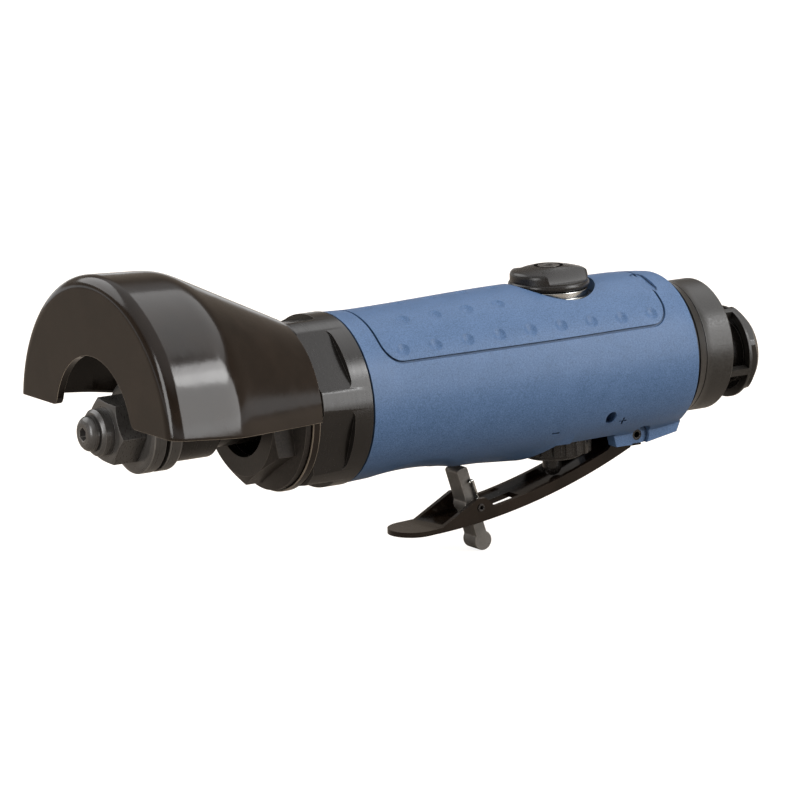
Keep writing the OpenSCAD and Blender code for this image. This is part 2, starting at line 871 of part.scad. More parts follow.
// Ball-shaped hollow pressed into the grip at x, turned from the near side
module dimple(x, turn) {
    r = (pow(dimple_d / 2, 2) + pow(dimple_depth, 2)) / 2 / dimple_depth;
    share = (x - collar_x1) / grip_l;
    rotate([-turn, 0, 0])
        translate([x, -(grip_r(share) + r - dimple_depth), 0])
            sphere(r = r, $fn = 32);
}

// Rows of dimples on both flanks of the panel and along its crown
module dimples() {
    first = collar_x1 + 13.2;
    pocket_front = valve_x - selector_d / 2 - 4;
    panel_rear = grip_x1 - 11;
    flank_turn = 38.5;
    upper_turn = 64;
    for (side = [1, -1]) {
        for (x = [first:dimple_pitch:panel_rear])
            dimple(x, 90 - side * (90 - flank_turn));
        for (x = [first + dimple_pitch / 2:dimple_pitch:pocket_front])
            dimple(x, 90 - side * (90 - upper_turn));
    }
    for (x = [first:dimple_pitch:pocket_front])
        dimple(x, 90);
}

// Engraved bars that show which way the regulator turns
module speed_mark(x, bars) {
    floor_r = grip_r((x - collar_x1) / grip_l) - mark_depth;
    rotate([mark_turn, 0, 0])
        translate([x, -floor_r, 0])
            rotate([90, 0, 0])
                linear_extrude(grip_full_d)
                    for (size = bars)
                        square(size, center = true);
}

// Plain oval recess across the panel's rear edge
module badge_recess() {
    x = grip_x1 - badge_at;
    reach = (badge_l - badge_w) / 2;
    floor_r = grip_r((x - collar_x1) / grip_l) - badge_depth;
    rotate([-badge_turn, 0, 0])
        translate([x, -floor_r, 0])
            rotate([90, 0, 0])
                linear_extrude(grip_full_d) {
                    square([badge_w, 2 * reach], center = true);
                    for (side = [-1, 1])
                        translate([0, side * reach])
                            circle(badge_w / 2);
                }
}

module grip_housing() {
    pocket_d = selector_d + 2.8;
    pin_recess_d = lever_pin_d + 3.6;
    keeper_hole_d = 3.5;
    keeper_at = 15;
    exhaust_d = 5;
    color("#54698f")
        difference() {
            union() {
                difference() {
                    grip_form();
                    finger_scoop();
                }
                grip_belly();
                grip_block();
            }
            bar(collar_x1 - over, rear_plate_x1, cylinder_d + 2 * seated);
            bar(rear_plate_x1 - over, cup_x1 + 0.2, cup_d + 2 * seated);
            for (side = [-1, 1])
                bar(rear_plate_x1 - over, grip_x1 + over, exhaust_d, side * 11, 8);
            bar(inlet_tube_x, grip_x1 + over, inlet_tube_d + 2 * seated, 0, -inlet_drop);
            bar(valve_x, inlet_tube_x + over, inlet_passage_d, 0, -inlet_drop);
            translate([valve_x, 0, seat_z - seat_t])
                cylinder(h = grip_full_d, d = pocket_d);
            translate([valve_x, 0, spool_bottom - 0.6])
                cylinder(h = seat_z, d = spool_d + 0.8);
            translate([valve_x, 0, bushing_top])
                cylinder(h = spring_z1 - bushing_top, d = valve_head_d + 2);
            translate([valve_x, 0, bushing_bottom])
                cylinder(h = bushing_top - bushing_bottom, d = bushing_d + 2 * seated);
            grip_bay();
            bar_pin_hole();
            for (side = [-1, 1])
                translate([hinge_x, side * (block_w / 2 + 1), -hinge_z])
                    rotate([90, 0, 0])
                        cylinder(h = 4.4, d = pin_recess_d, center = true);
            translate([hinge_x - keeper_at, -grip_full_d / 2, -12.6])
                rotate([-90, 0, 0])
                    cylinder(h = 12, d = keeper_hole_d);
            panel_groove();
            dimples();
            badge_recess();
            speed_mark(valve_x + mark_at, [[mark_l, mark_w], [mark_w, mark_l]]);
            speed_mark(valve_x - mark_at, [[mark_l, mark_w]]);
        }
}

// Hole for the lever's pin through both lugs
module bar_pin_hole() {
    translate([hinge_x, 0, -hinge_z])
        rotate([90, 0, 0])
            cylinder(h = block_w + 2, d = lever_pin_d, center = true);
}

module selector_seat() {
    color("#b9bcc0")
        difference() {
            translate([valve_x, 0, seat_z - seat_t]) {
                cylinder(h = seat_t, d = selector_d + 2.4);
                cylinder(h = seat_t + seat_step_h, d = selector_d - 2 * selector_lip);
            }
            translate([valve_x, 0, seat_z - seat_t - over])
                cylinder(h = seat_t + seat_step_h + 2 * over, d = spool_d + 2 * running);
        }
}

knob_z = seat_z + seat_step_h + face_gap;

module selector_knob() {
    crown_r = 34;
    scoop_x = -selector_d / 2 + 4.6;
    scoop_r = 2;
    color("#2b2a2a")
        translate([valve_x, 0, knob_z])
            difference() {
                union() {
                    cylinder(h = selector_lip_h, d = selector_d);
                    intersection() {
                        cylinder(h = selector_h, d = selector_d - 2 * selector_lip);
                        translate([0, 0, selector_h - crown_r])
                            sphere(r = crown_r);
                    }
                }
                for (side = [-1, 1]) {
                    translate([scoop_x + scoop_r, side * selector_d / 2 + side * selector_bar_w / 2, selector_base_h])
                        linear_extrude(selector_h) {
                            translate([0, -selector_d / 2])
                                square([selector_d, selector_d]);
                            translate([-scoop_r, scoop_r - selector_d / 2])
                                square([scoop_r + over, selector_d - 2 * scoop_r]);
                            translate([0, -side * (selector_d / 2 - scoop_r)])
                                circle(scoop_r);
                        }
                }
                translate([0, 0, selector_h - selector_recess_h])
                    cylinder(h = selector_recess_h + over, d = selector_recess_d);
                translate([0, 0, -over])
                    cylinder(h = selector_h, d = selector_screw_d + 2 * seated);
                translate([0, 0, -over])
                    cylinder(h = over + 1.6, d = spool_d + 2 * seated);
            }
}

module selector_screw() {
    color("#4a4a4b")
        translate([valve_x, 0, knob_z + selector_h - selector_recess_h])
            difference() {
                union() {
                    cylinder(h = 1.8, d = selector_screw_head_d);
                    translate([0, 0, -8])
                        cylinder(h = 8.5, d = selector_screw_d);
                }
                translate([0, 0, 0.8])
                    cylinder(h = 2, r = 1.5, $fn = 6);
            }
}

module selector_spool() {
    port_d = 6;
    color("#9a9b9d")
        difference() {
            translate([valve_x, 0, spool_bottom])
                cylinder(h = knob_z + 1.6 - spool_bottom, d = spool_d);
            translate([valve_x, 0, knob_z + selector_h - selector_recess_h - 8.3])
                cylinder(h = 20, d = selector_screw_d + 2 * seated);
            bar(valve_x - spool_d, valve_x + spool_d, port_d, 0, spool_bottom + 4);
        }
}

module valve_bushing() {
    color("#7d7f82")
        difference() {
            translate([valve_x, 0, bushing_bottom])
                cylinder(h = bushing_top - bushing_bottom, d = bushing_d);
            translate([valve_x, 0, bushing_bottom - over])
                cylinder(h = bushing_top - bushing_bottom + 2 * over, d = stem_d + 2 * running);
            translate([valve_x, 0, regulator_bottom - clip_t - 0.15])
                difference() {
                    cylinder(h = clip_t + 0.1, d = bushing_d + over);
                    translate([0, 0, -over])
                        cylinder(h = clip_t + 2 * over, d = bushing_d - 1);
                }
        }
}

module regulator_knob() {
    flute_r = 0.9;
    color("#2d2c2c")
        translate([valve_x, 0, regulator_bottom])
            difference() {
                cylinder(h = regulator_h, d = regulator_d);
                translate([0, 0, -over])
                    cylinder(h = regulator_h + 2 * over, d = bushing_d + 2 * running);
                for (i = [0:regulator_flutes - 1])
                    rotate([0, 0, 360 / regulator_flutes * i])
                        translate([regulator_d / 2 + 0.3, 0, -over])
                            cylinder(h = regulator_h + 2 * over, r = flute_r, $fn = 24);
            }
}

module regulator_clip() {
    color("#6c6d70")
        translate([valve_x, 0, regulator_bottom - clip_t - 0.1])
            difference() {
                cylinder(h = clip_t, d = bushing_d + 2.4);
                translate([0, 0, -over])
                    cylinder(h = clip_t + 2 * over, d = bushing_d - 1 + 2 * seated);
                translate([0, -1.5, -over])
                    cube([bushing_d, 3, clip_t + 2 * over]);
            }
}

// Lowest point of the stem's round end, set just above the lever's web
stem_end_z = lever_curve(valve_x, lever_t) + 0.42;

module valve_stem() {
    color("#2e2d2d")
        translate([valve_x, 0, 0]) {
            translate([0, 0, stem_end_z + stem_d / 2])
                sphere(d = stem_d);
            translate([0, 0, stem_end_z + stem_d / 2])
                cylinder(h = valve_head_z + 0.5 - stem_end_z - stem_d / 2, d = stem_d);
            translate([0, 0, valve_head_z])
                cylinder(h = valve_head_h, d = valve_head_d);
        }
}

// Tube swept along points, with one ring of sides at each point and flat ends
module wire(points, d, sides = 6) {
    n = len(points);
    rings = [
        for (i = [0:n - 1])
            let (
                ahead = points[min(i + 1, n - 1)] - points[max(i - 1, 0)],
                t = ahead / norm(ahead),
                side = cross(t, abs(t[2]) < 0.9 ? [0, 0, 1] : [1, 0, 0]),
                u = side / norm(side),
                v = cross(t, u)
            )
            for (k = [0:sides - 1])
                points[i] + d / 2 * (cos(360 / sides * k) * u + sin(360 / sides * k) * v)
    ];
    walls = [
        for (i = [0:n - 2], k = [0:sides - 1])
            let (a = i * sides + k, b = i * sides + (k + 1) % sides)
            each [[a, b, b + sides], [a, b + sides, a + sides]]
    ];
    first = [for (k = [1:sides - 2]) [0, k + 1, k]];
    last = [for (k = [1:sides - 2]) [(n - 1) * sides, (n - 1) * sides + k, (n - 1) * sides + k + 1]];
    polyhedron(points = rings, faces = concat(walls, first, last));
}

// Least gap of a wire to itself, between points more than one turn's quarter apart
function wire_gap(points, d, apart) =
    min([
        for (i = [0:len(points) - 1], j = [i + apart:1:len(points) - 1])
            norm(points[i] - points[j])
    ]) - d;

valve_spring_wire = 0.9;
valve_spring_turns = 4.5;
valve_spring_d = valve_head_d - 1.6;
valve_spring_points = [
    for (i = [0:8 * valve_spring_turns])
        let (
            a = 45 * i,
            rise = spring_z1 - spring_z0 - valve_spring_wire - 0.3,
            z = spring_z0 + valve_spring_wire / 2 + 0.1 + rise * i / (8 * valve_spring_turns)
        )
        [valve_x + valve_spring_d / 2 * cos(a), valve_spring_d / 2 * sin(a), z]
];

module valve_spring() {
    echo(valve_spring_gap = wire_gap(valve_spring_points, valve_spring_wire, 5));
    color("#9c9ea1")
        wire(valve_spring_points, valve_spring_wire);
}

// Band of the lever's sheet, from its underside up to height h
module lever_band(h) {
    translate([lever_low_x, lever_centre_z])
        difference() {
            circle(lever_curve_r, $fn = 360);
            circle(lever_curve_r - h, $fn = 360);
        }
}

wall_x0 = lock_x - 15;
ear_x = lock_x;
ear_z = -lock_z + lock_pin_d / 2 + 1.5;
lever_tip_x = lever_low_x - 1;

// Side wall of the lever: low along the curve, an ear at the lock pin, a boss at the hinge
module lever_wall() {
    step_x = ear_x + 4.6;
    boss_x = hinge_x - 7.6;
    intersection() {
        lever_band(lever_wall_h);
        translate([step_x - 2, -lever_low_z - over])
            square([hinge_x - step_x, lever_low_z]);
    }
    polygon([
        [wall_x0, lever_curve(wall_x0, 0.3)], [ear_x - 1, ear_z], [ear_x + 1.6, ear_z],
        [step_x, lever_curve(step_x, lever_wall_h)], [step_x, lever_curve(step_x, 0.3)],
        [ear_x, lever_curve(ear_x, 0.3)]
    ]);
    polygon([
        [boss_x, lever_curve(boss_x, 0.3)], [boss_x, lever_curve(boss_x, lever_wall_h)],
        [hinge_x - hinge_boss_r * 0.6, -hinge_z + hinge_boss_r * 0.8],
        [hinge_x + hinge_boss_r, -hinge_z], [hinge_x + hinge_boss_r, lever_curve(hinge_x, 0.3)],
        [hinge_x, lever_curve(hinge_x, 0.3)]
    ]);
    translate([hinge_x, -hinge_z])
        circle(hinge_boss_r);
}

module throttle_lever() {
    half = lever_w / 2;
    slot_x0 = lock_x - 4.5;
    slot_x1 = lock_x + lock_down + paddle_r;
    color("#2f2823")
        difference() {
            union() {
                intersection() {
                    slab(-half, half)
                        lever_band(lever_t);
                    translate([0, 0, -lever_low_z - over])
                        linear_extrude(lever_low_z) {
                            translate([lever_tip_x + half, 0])
                                circle(half);
                            translate([lever_tip_x + half, -half])
                                square([hinge_x - lever_tip_x - half, lever_w]);
                        }
                }
                for (side = [-1, 1])
                    slab(side * half - (side + 1) / 2 * lever_t, side * half + (1 - side) / 2 * lever_t)
                        lever_wall();
            }
            translate([slot_x0, -slot_w / 2, -lever_low_z - over])
                cube([slot_x1 - slot_x0, slot_w, lever_low_z - lock_z + 3]);
            translate([hinge_x, 0, -hinge_z])
                rotate([90, 0, 0])
                    cylinder(h = lever_w + 2, d = lever_pin_d + 2 * running, center = true);
            translate([lock_x, 0, -lock_z])
                rotate([90, 0, 0])
                    cylinder(h = lever_w + 2, d = lock_pin_d, center = true);
        }
}

// Hollow spring pin along Y with its lengthwise slit
module spring_pin(x, z, d, length) {
    translate([x, 0, z])
        rotate([90, 0, 0])
            difference() {
                cylinder(h = length, d = d, center = true);
                cylinder(h = length + 2, d = d * 0.58, center = true);
                translate([d / 4, -d * 0.05, -length])
                    cube([d, d * 0.1, 2 * length]);
            }
}

module lever_pin() {
    color("#6b6a69")
        spring_pin(hinge_x, -hinge_z, lever_pin_d, block_w - 2.4);
}

module lock_pin() {
    color("#6b6a69")
        spring_pin(lock_x, -lock_z, lock_pin_d, lever_w + 0.8);
}

module safety_lock() {
    edge = 0.5;
    color("#615e5b")
        translate([lock_x, 0, -lock_z])
            rotate([0, -lock_lean, 0])
                slab(-lock_t / 2, lock_t / 2)
                    difference() {
                        union() {
                            polygon([
                                [-lock_w / 2, paddle_r - lock_down], [lock_w / 2, paddle_r - lock_down],
                                [lock_w / 2, lock_up - edge], [lock_w / 2 - edge, lock_up],
                                [edge - lock_w / 2, lock_up], [-lock_w / 2, lock_up - edge]
                            ]);
                            translate([0, paddle_r - lock_down])
                                circle(paddle_r);
                            circle(lock_pin_d / 2 + 1.4);
                        }
                        circle(lock_pin_d / 2 + running);
                    }
}

// Wire of the lock spring: hook and leg along the arm, coil on the pin, short leg to the ear
lock_coil_r = lock_pin_d / 2 + spring_wire_d / 2 + 0.35;
lock_coil_turns = 2;
lock_coil_pitch = spring_wire_d + 0.45;
lock_coil_y = -lock_t / 2 - spring_wire_d / 2 - 0.25;
lock_leg_up = 7;
lock_leg_back = 4.6;
lock_spring_points = concat(
    [for (i = [0:2]) [lock_coil_r - 0.9 + 0.45 * i, lock_coil_y, lock_leg_up - 0.5 + 0.5 * i * (2 - i)]],
    [for (i = [1:3]) [lock_coil_r, lock_coil_y, lock_leg_up - 0.6 - (lock_leg_up - 0.6) * i / 3]],
    [
        for (i = [1:8 * lock_coil_turns])
            [
                lock_coil_r * cos(45 * i), lock_coil_y - lock_coil_pitch * i / 8,
                -lock_coil_r * sin(45 * i)
            ]
    ],
    [
        for (i = [1:2])
            [
                lock_coil_r + lock_leg_back * 0.35 * i / 2, lock_coil_y - lock_coil_pitch * lock_coil_turns,
                -lock_leg_back * 0.3 * i / 2
            ]
    ]
);

module lock_spring() {
    echo(lock_spring_gap = wire_gap(lock_spring_points, spring_wire_d, 5));
    color("#8f8f90")
        translate([lock_x, 0, -lock_z])
            rotate([0, -lock_lean, 0])
                wire(lock_spring_points, spring_wire_d);
}

// Vent holes through the cap's floor and the cage's base, between the ribs
module vents(x0, x1) {
    vent_d = 2.4;
    translate([0, 0, -inlet_drop])
        for (i = [0:2 * cage_ribs - 1])
            rotate([180 / cage_ribs * (i + 0.5) - rib_turn, 0, 0])
                bar(x0, x1, vent_d, 0, inlet_tube_d / 2 + 1.6);
}

cap_floor_t = 2.4;
rib_turn = -18;

module rear_cap() {
    rise = (cap_front_d - cap_rear_d) / 2;
    flare_r = (pow(rise, 2) + pow(cap_flare_l, 2)) / 2 / rise;
    line_r = cap_rear_d / 2 + flare_r - sqrt(pow(flare_r, 2) - pow(cap_flare_l - cap_line_at, 2));
    edge = 0.5;
    color("#302f2e")
        difference() {
            translate([grip_x1, 0, 0])
                rotate([0, 90, 0])
                    rotate_extrude()
                        difference() {
                            polygon([
                                [0, 0], [cap_front_d / 2 - cap_step, 0],
                                [cap_front_d / 2 - cap_step, cap_step_l],
                                [cap_front_d / 2, cap_step_l], [cap_front_d / 2, cap_flare_l],
                                [cap_rear_d / 2, cap_flare_l], [cap_rear_d / 2, cap_l - edge],
                                [cap_rear_d / 2 - edge, cap_l], [0, cap_l]
                            ]);
                            translate([cap_rear_d / 2 + flare_r, cap_flare_l])
                                circle(flare_r, $fn = 120);
                            translate([line_r - cap_line_w, cap_line_at])
                                square([cap_front_d, cap_line_w]);
                        }
            bar(grip_x1 - over, cap_x1 - cap_floor_t, cap_rear_d - 2 * cap_wall);
            bar(grip_x1, cap_x1 + over, inlet_tube_d + 2 * seated, 0, -inlet_drop);
            vents(cap_x1 - cap_floor_t - over, cap_x1 + over);
        }
}

module exhaust_silencer() {
    color("#6d6a62")
        difference() {
            bar(grip_x1 + 0.2, cap_x1 - cap_floor_t, silencer_d);
            bar(grip_x1 - over, cap_x1, inlet_tube_d + 0.3, 0, -inlet_drop);
        }
}

module exhaust_cage() {
    color("#2f2e2e")
        difference() {
            translate([0, 0, -inlet_drop]) {
                bar(cap_x1, cap_x1 + cage_base_t, cage_d);
                difference() {
                    bar(inlet_hex_x - cage_ring_t, inlet_hex_x, cage_d);
                    bar(inlet_hex_x - cage_ring_t - over, inlet_hex_x + over, cage_d - 2 * cage_wall);
                }
                intersection() {
                    for (i = [0:cage_ribs - 1])
                        rotate([360 / cage_ribs * i - rib_turn, 0, 0])
                            translate([cap_x1, -cage_d / 2 - over, -cage_rib_w / 2])
                                cube([cage_l, cage_wall + over, cage_rib_w]);
                    bar(cap_x1, inlet_hex_x, cage_d);
                }
            }
            bar(cap_x1 - over, inlet_hex_x + over, inlet_tube_d + 2 * seated, 0, -inlet_drop);
            vents(cap_x1 - over, cap_x1 + cage_base_t + over);
        }
}

module inlet_bushing() {
    screen_d = inlet_passage_d + 2;
    corner_r = inlet_af / 2 + 1.2;
    hex_turn = 11.5;
    color("#353332")
        difference() {
            union() {
                bar(inlet_tube_x + 0.1, inlet_hex_x + over, inlet_tube_d, 0, -inlet_drop);
                intersection() {
                    hex_bar(inlet_hex_x, inlet_x1, inlet_af, hex_turn, -inlet_drop);
                    translate([0, 0, -inlet_drop])
                        turned([
                            [0, inlet_hex_x], [corner_r, inlet_hex_x], [corner_r, inlet_x1 - 0.6 * inlet_hex_t],
                            [inlet_af / 2 - 1.2, inlet_x1], [0, inlet_x1]
                        ]);
                }
            }
            bar(inlet_x1 - inlet_bore_l, inlet_x1 + over, inlet_bore_d, 0, -inlet_drop);
            bar(inlet_tube_x - over, inlet_x1, inlet_passage_d, 0, -inlet_drop);
            bar(inlet_x1 - inlet_bore_l - 5, inlet_x1 - inlet_bore_l + over, screen_d, 0, -inlet_drop);
        }
}

module inlet_screen() {
    screen_d = inlet_passage_d + 2 - 2 * seated;
    x1 = inlet_x1 - inlet_bore_l - 0.2;
    color("#a08a5a")
        difference() {
            bar(x1 - 4.8, x1, screen_d, 0, -inlet_drop);
            bar(x1 - 3.8, x1 + over, screen_d - 2, 0, -inlet_drop);
            for (y = [-2, 0, 2], z = [-2, 0, 2])
                bar(x1 - 6, x1, 1, y, z - inlet_drop);
        }
}

wheel_screw();
clamp_nut();
outer_flange();
inner_flange();
arbor();
guard();
guard_nut();
front_collar();
front_bearing_outer();
front_bearing_inner();
front_bearing_balls();
front_end_plate();
motor_cylinder();
rear_end_plate();
rotor();
rotor_vanes();
rear_bearing_outer();
rear_bearing_inner();
rear_bearing_balls();
grip_housing();
selector_seat();
selector_knob();
selector_screw();
selector_spool();
valve_bushing();
regulator_knob();
regulator_clip();
valve_stem();
valve_spring();
throttle_lever();
lever_pin();
safety_lock();
lock_pin();
lock_spring();
rear_cap();
exhaust_silencer();
exhaust_cage();
inlet_bushing();
inlet_screen();
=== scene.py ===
import math

import bmesh
import bpy
from mathutils import Matrix, Vector


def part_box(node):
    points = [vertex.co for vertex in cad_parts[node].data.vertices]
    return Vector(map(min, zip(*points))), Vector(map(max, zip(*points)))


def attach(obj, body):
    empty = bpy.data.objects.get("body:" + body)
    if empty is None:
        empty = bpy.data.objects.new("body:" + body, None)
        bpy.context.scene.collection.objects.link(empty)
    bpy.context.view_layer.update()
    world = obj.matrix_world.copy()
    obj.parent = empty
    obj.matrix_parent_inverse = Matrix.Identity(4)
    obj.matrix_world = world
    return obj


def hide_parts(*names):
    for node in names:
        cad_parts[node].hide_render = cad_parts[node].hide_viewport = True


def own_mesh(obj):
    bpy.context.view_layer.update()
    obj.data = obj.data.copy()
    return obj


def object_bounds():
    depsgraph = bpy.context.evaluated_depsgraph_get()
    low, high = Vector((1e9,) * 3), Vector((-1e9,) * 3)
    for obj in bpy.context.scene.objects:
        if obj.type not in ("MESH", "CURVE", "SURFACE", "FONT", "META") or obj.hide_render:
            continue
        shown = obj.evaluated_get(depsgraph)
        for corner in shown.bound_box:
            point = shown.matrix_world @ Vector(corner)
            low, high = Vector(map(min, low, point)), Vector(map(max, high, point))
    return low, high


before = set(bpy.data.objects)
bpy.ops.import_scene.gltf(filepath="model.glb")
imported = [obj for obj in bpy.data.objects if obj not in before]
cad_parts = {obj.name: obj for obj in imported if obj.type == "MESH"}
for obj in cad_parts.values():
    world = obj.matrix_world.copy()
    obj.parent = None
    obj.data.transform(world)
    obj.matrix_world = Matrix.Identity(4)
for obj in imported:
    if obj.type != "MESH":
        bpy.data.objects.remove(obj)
cad_low, cad_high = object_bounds()

# Front collar: the steel body that holds the front bearing and carries guard and nut on its nose.
# It is turned from bar, its wrench pockets are milled, and the whole is blacked and oiled.
mm = 0.001
collar_edge = 0.4 * mm


def linear(code):
    """Linear colour of an sRGB hex code."""
    parts = [int(code[i : i + 2], 16) / 255 for i in (1, 3, 5)]
    return [p / 12.92 if p <= 0.04045 else ((p + 0.055) / 1.055) ** 2.4 for p in parts] + [1]


def add(tree, kind, inputs=None, **settings):
    """Adds a node. An input is a value, or the output socket to link it from."""
    node = tree.nodes.new(kind)
    for key, value in settings.items():
        setattr(node, key, value)
    for key, value in (inputs or {}).items():
        if isinstance(value, bpy.types.NodeSocket):
            tree.links.new(value, node.inputs[key])
        else:
            node.inputs[key].default_value = value
    return node


def surface(
    name, tones, rough, grain, relief, metal=0.0, gloss=1.5, patch=8 * mm, speckle=0.4, wear_and_highlight_tone=None, pitch=0
):
    """A finish of two close tones, in soft patches and in a grain that stands relief high. Speckle is
    the grain's share in the tone. Rounded edges are lightened in patches to an edge tone, which is partly
    wear and partly a painted highlight, narrow gaps are darkened as painted shade, and a pitch adds the
    marks of a cutter that went round the tool's axis."""
    # painted shade: the tone that narrow gaps and seams are darkened to
    painted_shade_tone = "#0d0c0b"
    painted_shade_reach = 0.7 * mm
    marks_share = 0.8
    material = bpy.data.materials.new(name)
    material.use_nodes = True
    tree = material.node_tree
    shader = tree.nodes["Principled BSDF"]
    coords = add(tree, "ShaderNodeTexCoord").outputs["Object"]
    look = {"Vector": coords, "Scale": 1 / patch, "Detail": 5}
    patches = add(tree, "ShaderNodeTexNoise", look).outputs[0]
    look = {"Vector": coords, "Scale": 1 / grain, "Detail": 3}
    grains = add(tree, "ShaderNodeTexNoise", look).outputs[0]
    # a noise keeps near its middle, so that part of it is stretched over the whole range
    spread = add(tree, "ShaderNodeMix", {0: speckle, 2: patches, 3: grains}).outputs[0]
    stretch = {"Value": spread, "From Min": 0.32, "From Max": 0.68}
    share = add(tree, "ShaderNodeMapRange", stretch).outputs[0]
    blend = {0: share, 6: linear(tones[0]), 7: linear(tones[1])}
    tone = add(tree, "ShaderNodeMix", blend, data_type="RGBA").outputs[2]
    # wear and painted highlight: rounded faces are lightened in patches to the edge tone
    if wear_and_highlight_tone:
        edge_wear_and_highlight = add(tree, "ShaderNodeAttribute", attribute_name="edge_wear_and_highlight").outputs["Fac"]
        wear_and_highlight_share = add(tree, "ShaderNodeMath", {0: edge_wear_and_highlight, 1: patches}, operation="MULTIPLY").outputs[0]
        blend = {0: wear_and_highlight_share, 6: tone, 7: linear(wear_and_highlight_tone)}
        tone = add(tree, "ShaderNodeMix", blend, data_type="RGBA").outputs[2]
    # painted shade: where little of the sky is open, the tone is darkened
    open_sky = add(tree, "ShaderNodeAmbientOcclusion", {"Distance": painted_shade_reach}, samples=6).outputs["AO"]
    stretch = {"Value": open_sky, "From Min": 0.35, "From Max": 0.85}
    unshaded_share = add(tree, "ShaderNodeMapRange", stretch).outputs[0]
    blend = {0: unshaded_share, 6: linear(painted_shade_tone), 7: tone}
    tone = add(tree, "ShaderNodeMix", blend, data_type="RGBA").outputs[2]
    height = grains
    if pitch:
        split = add(tree, "ShaderNodeSeparateXYZ", {0: coords}).outputs
        across = add(tree, "ShaderNodeCombineXYZ", {1: split[1], 2: split[2]}).outputs[0]
        radius = add(tree, "ShaderNodeVectorMath", {0: across}, operation="LENGTH").outputs["Value"]
        rings = add(tree, "ShaderNodeCombineXYZ", {0: split[0], 1: radius}).outputs[0]
        look = {"Vector": rings, "Scale": 1 / pitch, "Detail": 2}
        marks = add(tree, "ShaderNodeTexNoise", look).outputs[0]
        height = add(tree, "ShaderNodeMix", {0: marks_share, 2: grains, 3: marks}).outputs[0]
    limits = {"From Min": 0.3, "From Max": 0.7, "To Min": rough * 0.8, "To Max": rough * 1.2}
    dull = add(tree, "ShaderNodeMapRange", {"Value": height, **limits}).outputs[0]
    bump = add(tree, "ShaderNodeBump", {"Height": height, "Distance": relief, "Strength": 1.0}).outputs[0]
    for key, value in (("Base Color", tone), ("Roughness", dull), ("Normal", bump)):
        tree.links.new(value, shader.inputs[key])
    shader.inputs["Metallic"].default_value = metal
    shader.inputs["IOR"].default_value = gloss
    return material


def linked(name, mesh):
    """A new object at the origin."""
    piece = bpy.data.objects.new(name, mesh)
    bpy.context.scene.collection.objects.link(piece)
    return piece


def plain(piece):
    """Turns a piece's modifiers into plain mesh."""
    done = piece.evaluated_get(bpy.context.evaluated_depsgraph_get())
    mesh = bpy.data.meshes.new_from_object(done)
    piece.modifiers.clear()
    piece.data = mesh
    return mesh


def settled(piece, material, body, slot, *nodes):
    """Makes a piece plain mesh, shaded smooth up to the crease angle with the large faces ruling,
    gives it its finish and its body, and lets it stand for the nodes."""
    crease = math.radians(40)
    mesh = plain(piece)
    # the rounded faces are marked for the edge tone, which is partly wear and partly a painted highlight
    edge_wear_and_highlight = mesh.attributes.new("edge_wear_and_highlight", "FLOAT", "FACE")
    edge_wear_and_highlight.data.foreach_set("value", [float(face.material_index > 0) for face in mesh.polygons])
    mesh.polygons.foreach_set("material_index", [0] * len(mesh.polygons))
    mesh.shade_smooth()
    mesh.set_sharp_from_angle(angle=crease)
    piece.modifiers.new("Shading", "WEIGHTED_NORMAL").keep_sharp = True
    mesh = plain(piece)
    mesh.materials.clear()
    mesh.materials.append(material)
    if nodes:
        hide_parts(*nodes)
    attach(piece, body)
    return piece


def rounded(piece, edge, steps, angle=28, limit="ANGLE"):
    """Rounds a piece's sharp edges, or its weighted ones, and marks the new faces for the edge tone,
    which is partly wear and partly a painted highlight: they take the second of two empty material
    places."""
    piece.data.materials.clear()
    for empty in range(2):
        piece.data.materials.append(None)
    bevel = piece.modifiers.new("Rounded edges", "BEVEL")
    bevel.width = edge
    bevel.segments = steps
    bevel.limit_method = limit
    bevel.angle_limit = math.radians(angle)
    bevel.material = 1


def joined(name, node):
    """A copy of a CAD node with its points merged and its flat faces joined."""
    same_point = 0.001 * mm
    same_plane = math.radians(0.5)
    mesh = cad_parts[node].data.copy()
    shape = bmesh.new()
    shape.from_mesh(mesh)
    bmesh.ops.remove_doubles(shape, verts=shape.verts, dist=same_point)
    bmesh.ops.dissolve_limit(shape, angle_limit=same_plane, verts=shape.verts, edges=shape.edges)
    shape.to_mesh(mesh)
    shape.free()
    return linked(name, mesh)


def softened(name, node, edge, material, body, slot, steps=2):
    """A copy of a CAD node with its edges rounded, that stands for the node."""
    piece = joined(name, node)
    rounded(piece, edge, steps)
    return settled(piece, material, body, slot, node)


# Blacked and oiled steel: near black, with the satin sheen of its oxide and oil, which the tool marks
# break up. Real marks are finer, and these are as coarse as they need to be to show.
blacked = surface(
    "blacked_turned_steel",
    ("#191715", "#221f1d"),
    rough=0.24,
    grain=0.5 * mm,
    relief=0.0012 * mm,
    gloss=1.42,
    # edge tone: partly wear, partly a painted highlight on rounded edges
    wear_and_highlight_tone="#6b6661",
    pitch=0.5 * mm,
)
softened("collar", "front_collar", collar_edge, blacked, "tool_body", "black_oxide_steel", steps=3)

# Bearings and air motor: ground bearing steel, a cast iron cylinder between its end plates and a
# rotor with phenolic vanes. All of it is stacked inside the grip, out of sight.


def dressed(material, *nodes):
    """Gives CAD nodes whose shape is right their finish."""
    for node in nodes:
        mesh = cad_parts[node].data
        mesh.materials.clear()
        mesh.materials.append(material)


# Ground steel: clean and bright, with a fine sheen round the axis
ground = surface(
    "ground_bearing_steel",
    ("#a9abae", "#c3c5c8"),
    rough=0.22,
    grain=0.4 * mm,
    relief=0.004 * mm,
    metal=1.0,
    pitch=0.3 * mm,
)
# Honed cast iron: a dull, darker grey with the hone's marks
iron = surface(
    "honed_cast_iron",
    ("#6a6b6d", "#7d7e80"),
    rough=0.42,
    grain=0.35 * mm,
    relief=0.01 * mm,
    metal=0.9,
    pitch=0.5 * mm,
)
